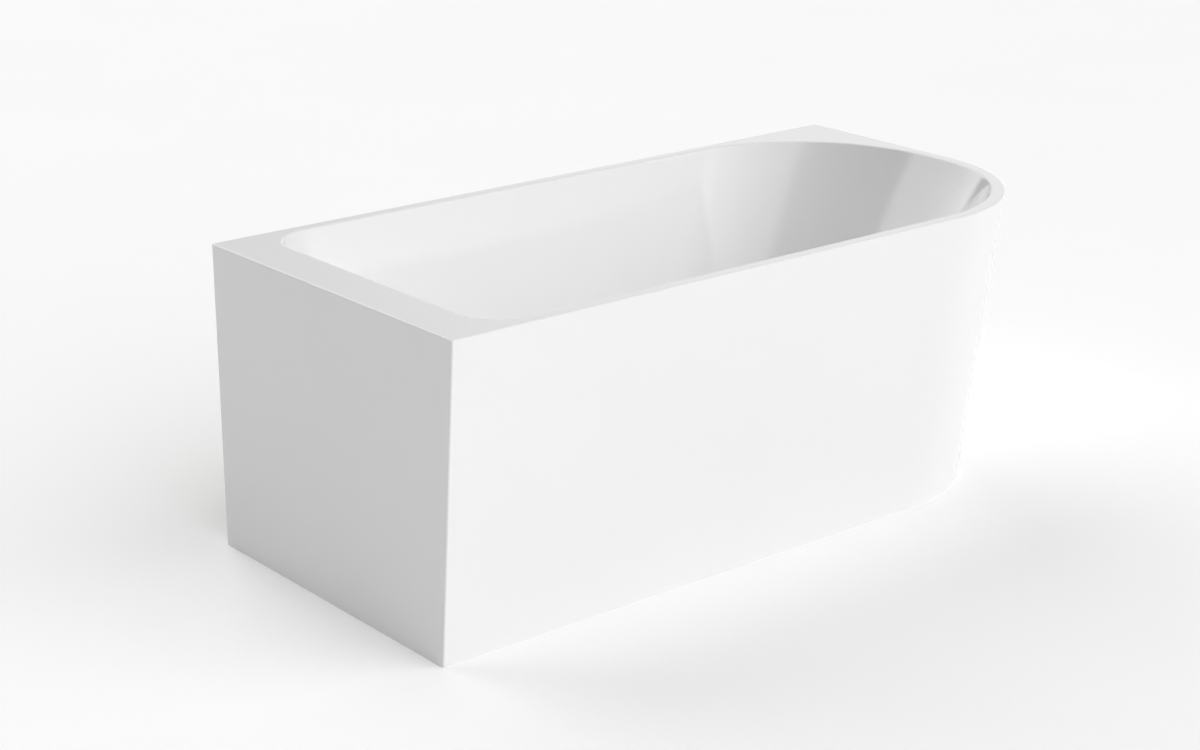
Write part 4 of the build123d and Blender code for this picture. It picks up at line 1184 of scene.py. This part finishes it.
def trap():
    """Union nut on the waste, and the cup, cap and outlet that swivel in it."""

    def about_outlet(profile, steps=96):
        return lathe(profile, OUTLET, steps, ACROSS, (1, 0, 0))

    gasket = seal(18, 22.3, NECK_END - 2, NECK_END, 0.2)
    turned("trap_washer", "trap_gasket", "rubber_seal", lathe(gasket, WASTE, 64))
    union = union_nut(10, 30.0, NUT_LOW, CHAMBER_FLOOR - 0.6, 23.05, 20.3, 3.0)
    turned("trap_union_nut", "trap_nut", "white_plastic", lathe(union, WASTE, 160))
    wall, groove, neck, neck_top = 46, 45.3, CUP_TOP + 6.3, CUP_TOP + 10.3
    cup = [
        (22, CUP_LOW), (wall, CUP_LOW), (wall, 29), (groove, 29.6), (groove, 30.8), (wall, 31.4),
        (wall, 68), (groove, 68.6), (groove, 69.8), (wall, 70.4), (wall, CUP_TOP), (20, CUP_TOP),
        (20, neck), (22.3, neck), (22.3, neck_top), (18, neck_top), (18, CUP_LOW + 13), (20, CUP_LOW + 13),
        (20, CUP_TOP - 3), (43, CUP_TOP - 3), (43, CUP_LOW + 3), (22, CUP_LOW + 3),
    ]
    radii = (0.3, 5, *(0.2,) * 8, 6, 1.5, *(0.4,) * 6, 2, 3, 2, 0.3)
    socket = rounded(tube(20.05, 23, 38, 62), (0.01, 0.01, 0.6, 0.4), 3)
    parts = [lathe(rounded(cup, radii, 4), WASTE, 128), about_outlet(socket)]
    for h in (39, 41.3, 43.6):
        parts.append(about_outlet([(22.6, h), (24.2, h + 0.4), (24.2, h + 1.4), (22.6, h + 1.8)]))
    turned("trap_cup", "trap_body", "white_plastic", *parts, body="trap")
    cap_low = CUP_LOW - 6

    def cap(turn):
        out, face, cut = nut_edge(turn, 12, 28.0, 0.8, 0.8)
        return [
            (0, CUP_LOW - 3.4), (19.5, CUP_LOW - 3.4), (20.5, cap_low), (face, cap_low),
            (out, cap_low + cut), (out, CUP_LOW), (22, CUP_LOW), (22, CUP_LOW + 3), (0, CUP_LOW + 3),
        ]

    grip = box_piece((WASTE_X - 20, -3, cap_low), (WASTE_X + 20, 3, CUP_LOW - 3.2))
    turned("clean_out_cap", "trap_clean_out", "white_plastic", lathe(cap, WASTE, 144), grip, body="trap")
    ring = about_outlet(seal(20, 23, 62, 67, 0.3))
    turned("outlet_ring_seal", "trap_outlet_seal", "rubber_seal", ring, body="trap")

    def outlet_nut(turn):
        section = union_nut(10, 29.0, 0.0, 24.0, 23.05, 20.05, 3.0)(turn)
        return [(r, 70 - h) for r, h in reversed(section)]

    turned("outlet_union_nut", "trap_outlet_nut", "white_plastic", about_outlet(outlet_nut, 160), body="trap")
    mark, inner, outer = PIPE_END - 60, 18, 20
    pipe = [
        (inner, 46), (outer, 46), (outer, mark - 0.5), (19.5, mark - 0.5), (19.5, mark),
        (outer, mark), (outer, PIPE_END - 1.5), (19.2, PIPE_END), (inner, PIPE_END),
    ]
    turned("outlet_pipe", "trap_outlet_pipe", "white_plastic", about_outlet(pipe), body="trap")


bath_shell()
back_lip()
bath_skirt()
rim_bond()
boards()
steel_frame()
frame_plugs()
screws()
brackets()
for foot_number in range(1, 6):
    foot(foot_number)
click_waste()
spring()
plug()
overflow()
hose()
trap()


# Stage: pale floor, studio light, camera


def floor():
    reach = 40000.0
    corners = [(-reach, -reach, 0), (reach, -reach, 0), (reach, reach, 0), (-reach, reach, 0)]
    made = piece("studio_floor", corners, [(0, 1, 2, 3)], [])
    m = Material("studio_floor", Roughness=0.85, Emission_Color=(1, 1, 1, 1), Emission_Strength=0.11)
    m.colour(m.ramp(m.noise(1.5, 2.0), [(0.3, (0.955, 0.955, 0.955)), (0.7, (0.965, 0.965, 0.965))]))
    made.data.materials.append(m.material)


class World(NodeTree):
    """The studio's light by direction: round lamps on a dark surround."""

    def __init__(self):
        bpy.context.scene.world = bpy.data.worlds.new("studio")
        super().__init__(bpy.context.scene.world)
        self.way = self.node("TexCoord").outputs["Generated"]
        self.total = None

    def shine(self, azimuth, elevation, reach, core, strength):
        """A round lamp: full strength within core degrees of its middle, none past reach degrees."""
        azimuth, elevation = radians(azimuth), radians(elevation)
        middle = (cos(elevation) * cos(azimuth), cos(elevation) * sin(azimuth), sin(elevation))
        towards = self.node("VectorMath", {1: middle}, operation="DOT_PRODUCT")
        self.link(self.way, towards.inputs[0])
        ends = {"From Min": cos(radians(reach)), "From Max": cos(radians(core)), "To Max": strength}
        lamp = self.node("MapRange", ends, interpolation_type="SMOOTHSTEP")
        self.link(towards.outputs["Value"], lamp.inputs["Value"])
        lamp = lamp.outputs["Result"]
        self.total = lamp if self.total is None else self.math("ADD", self.total, lamp)

    def finish(self):
        background = self.tree.nodes["Background"]
        background.inputs["Color"].default_value = (1, 1, 1, 1)
        self.link(self.total, background.inputs["Strength"])


def world():
    studio = World()
    studio.shine(96, 39, 34, 27, 2.15)
    studio.shine(286, 40, 44, 34, 1.70)
    studio.shine(0, 0, 65, 61, 0.36)
    studio.shine(42, 6, 20, 8, 0.5)
    studio.finish()


def camera():
    """The camera solved from the photograph's vanishing points."""
    data = bpy.data.cameras.new("camera")
    data.sensor_fit = "HORIZONTAL"
    data.sensor_width = 36.0
    data.lens = 72.384
    data.clip_start, data.clip_end = 0.05, 200.0
    ahead = Vector((0.6024, 0.7300, -0.3228)).normalized()
    side = Vector((0.7715, -0.6363, 0.0009))
    side = (side - ahead * side.dot(ahead)).normalized()
    place = (-2.9505, -3.3873, 1.8066)
    made = show("camera", data)
    made.matrix_world = Matrix((*zip(side, side.cross(ahead), -ahead, place), (0, 0, 0, 1)))
    bpy.context.scene.camera = made


floor()
world()
camera()
bpy.context.scene.view_settings.view_transform = "Standard"
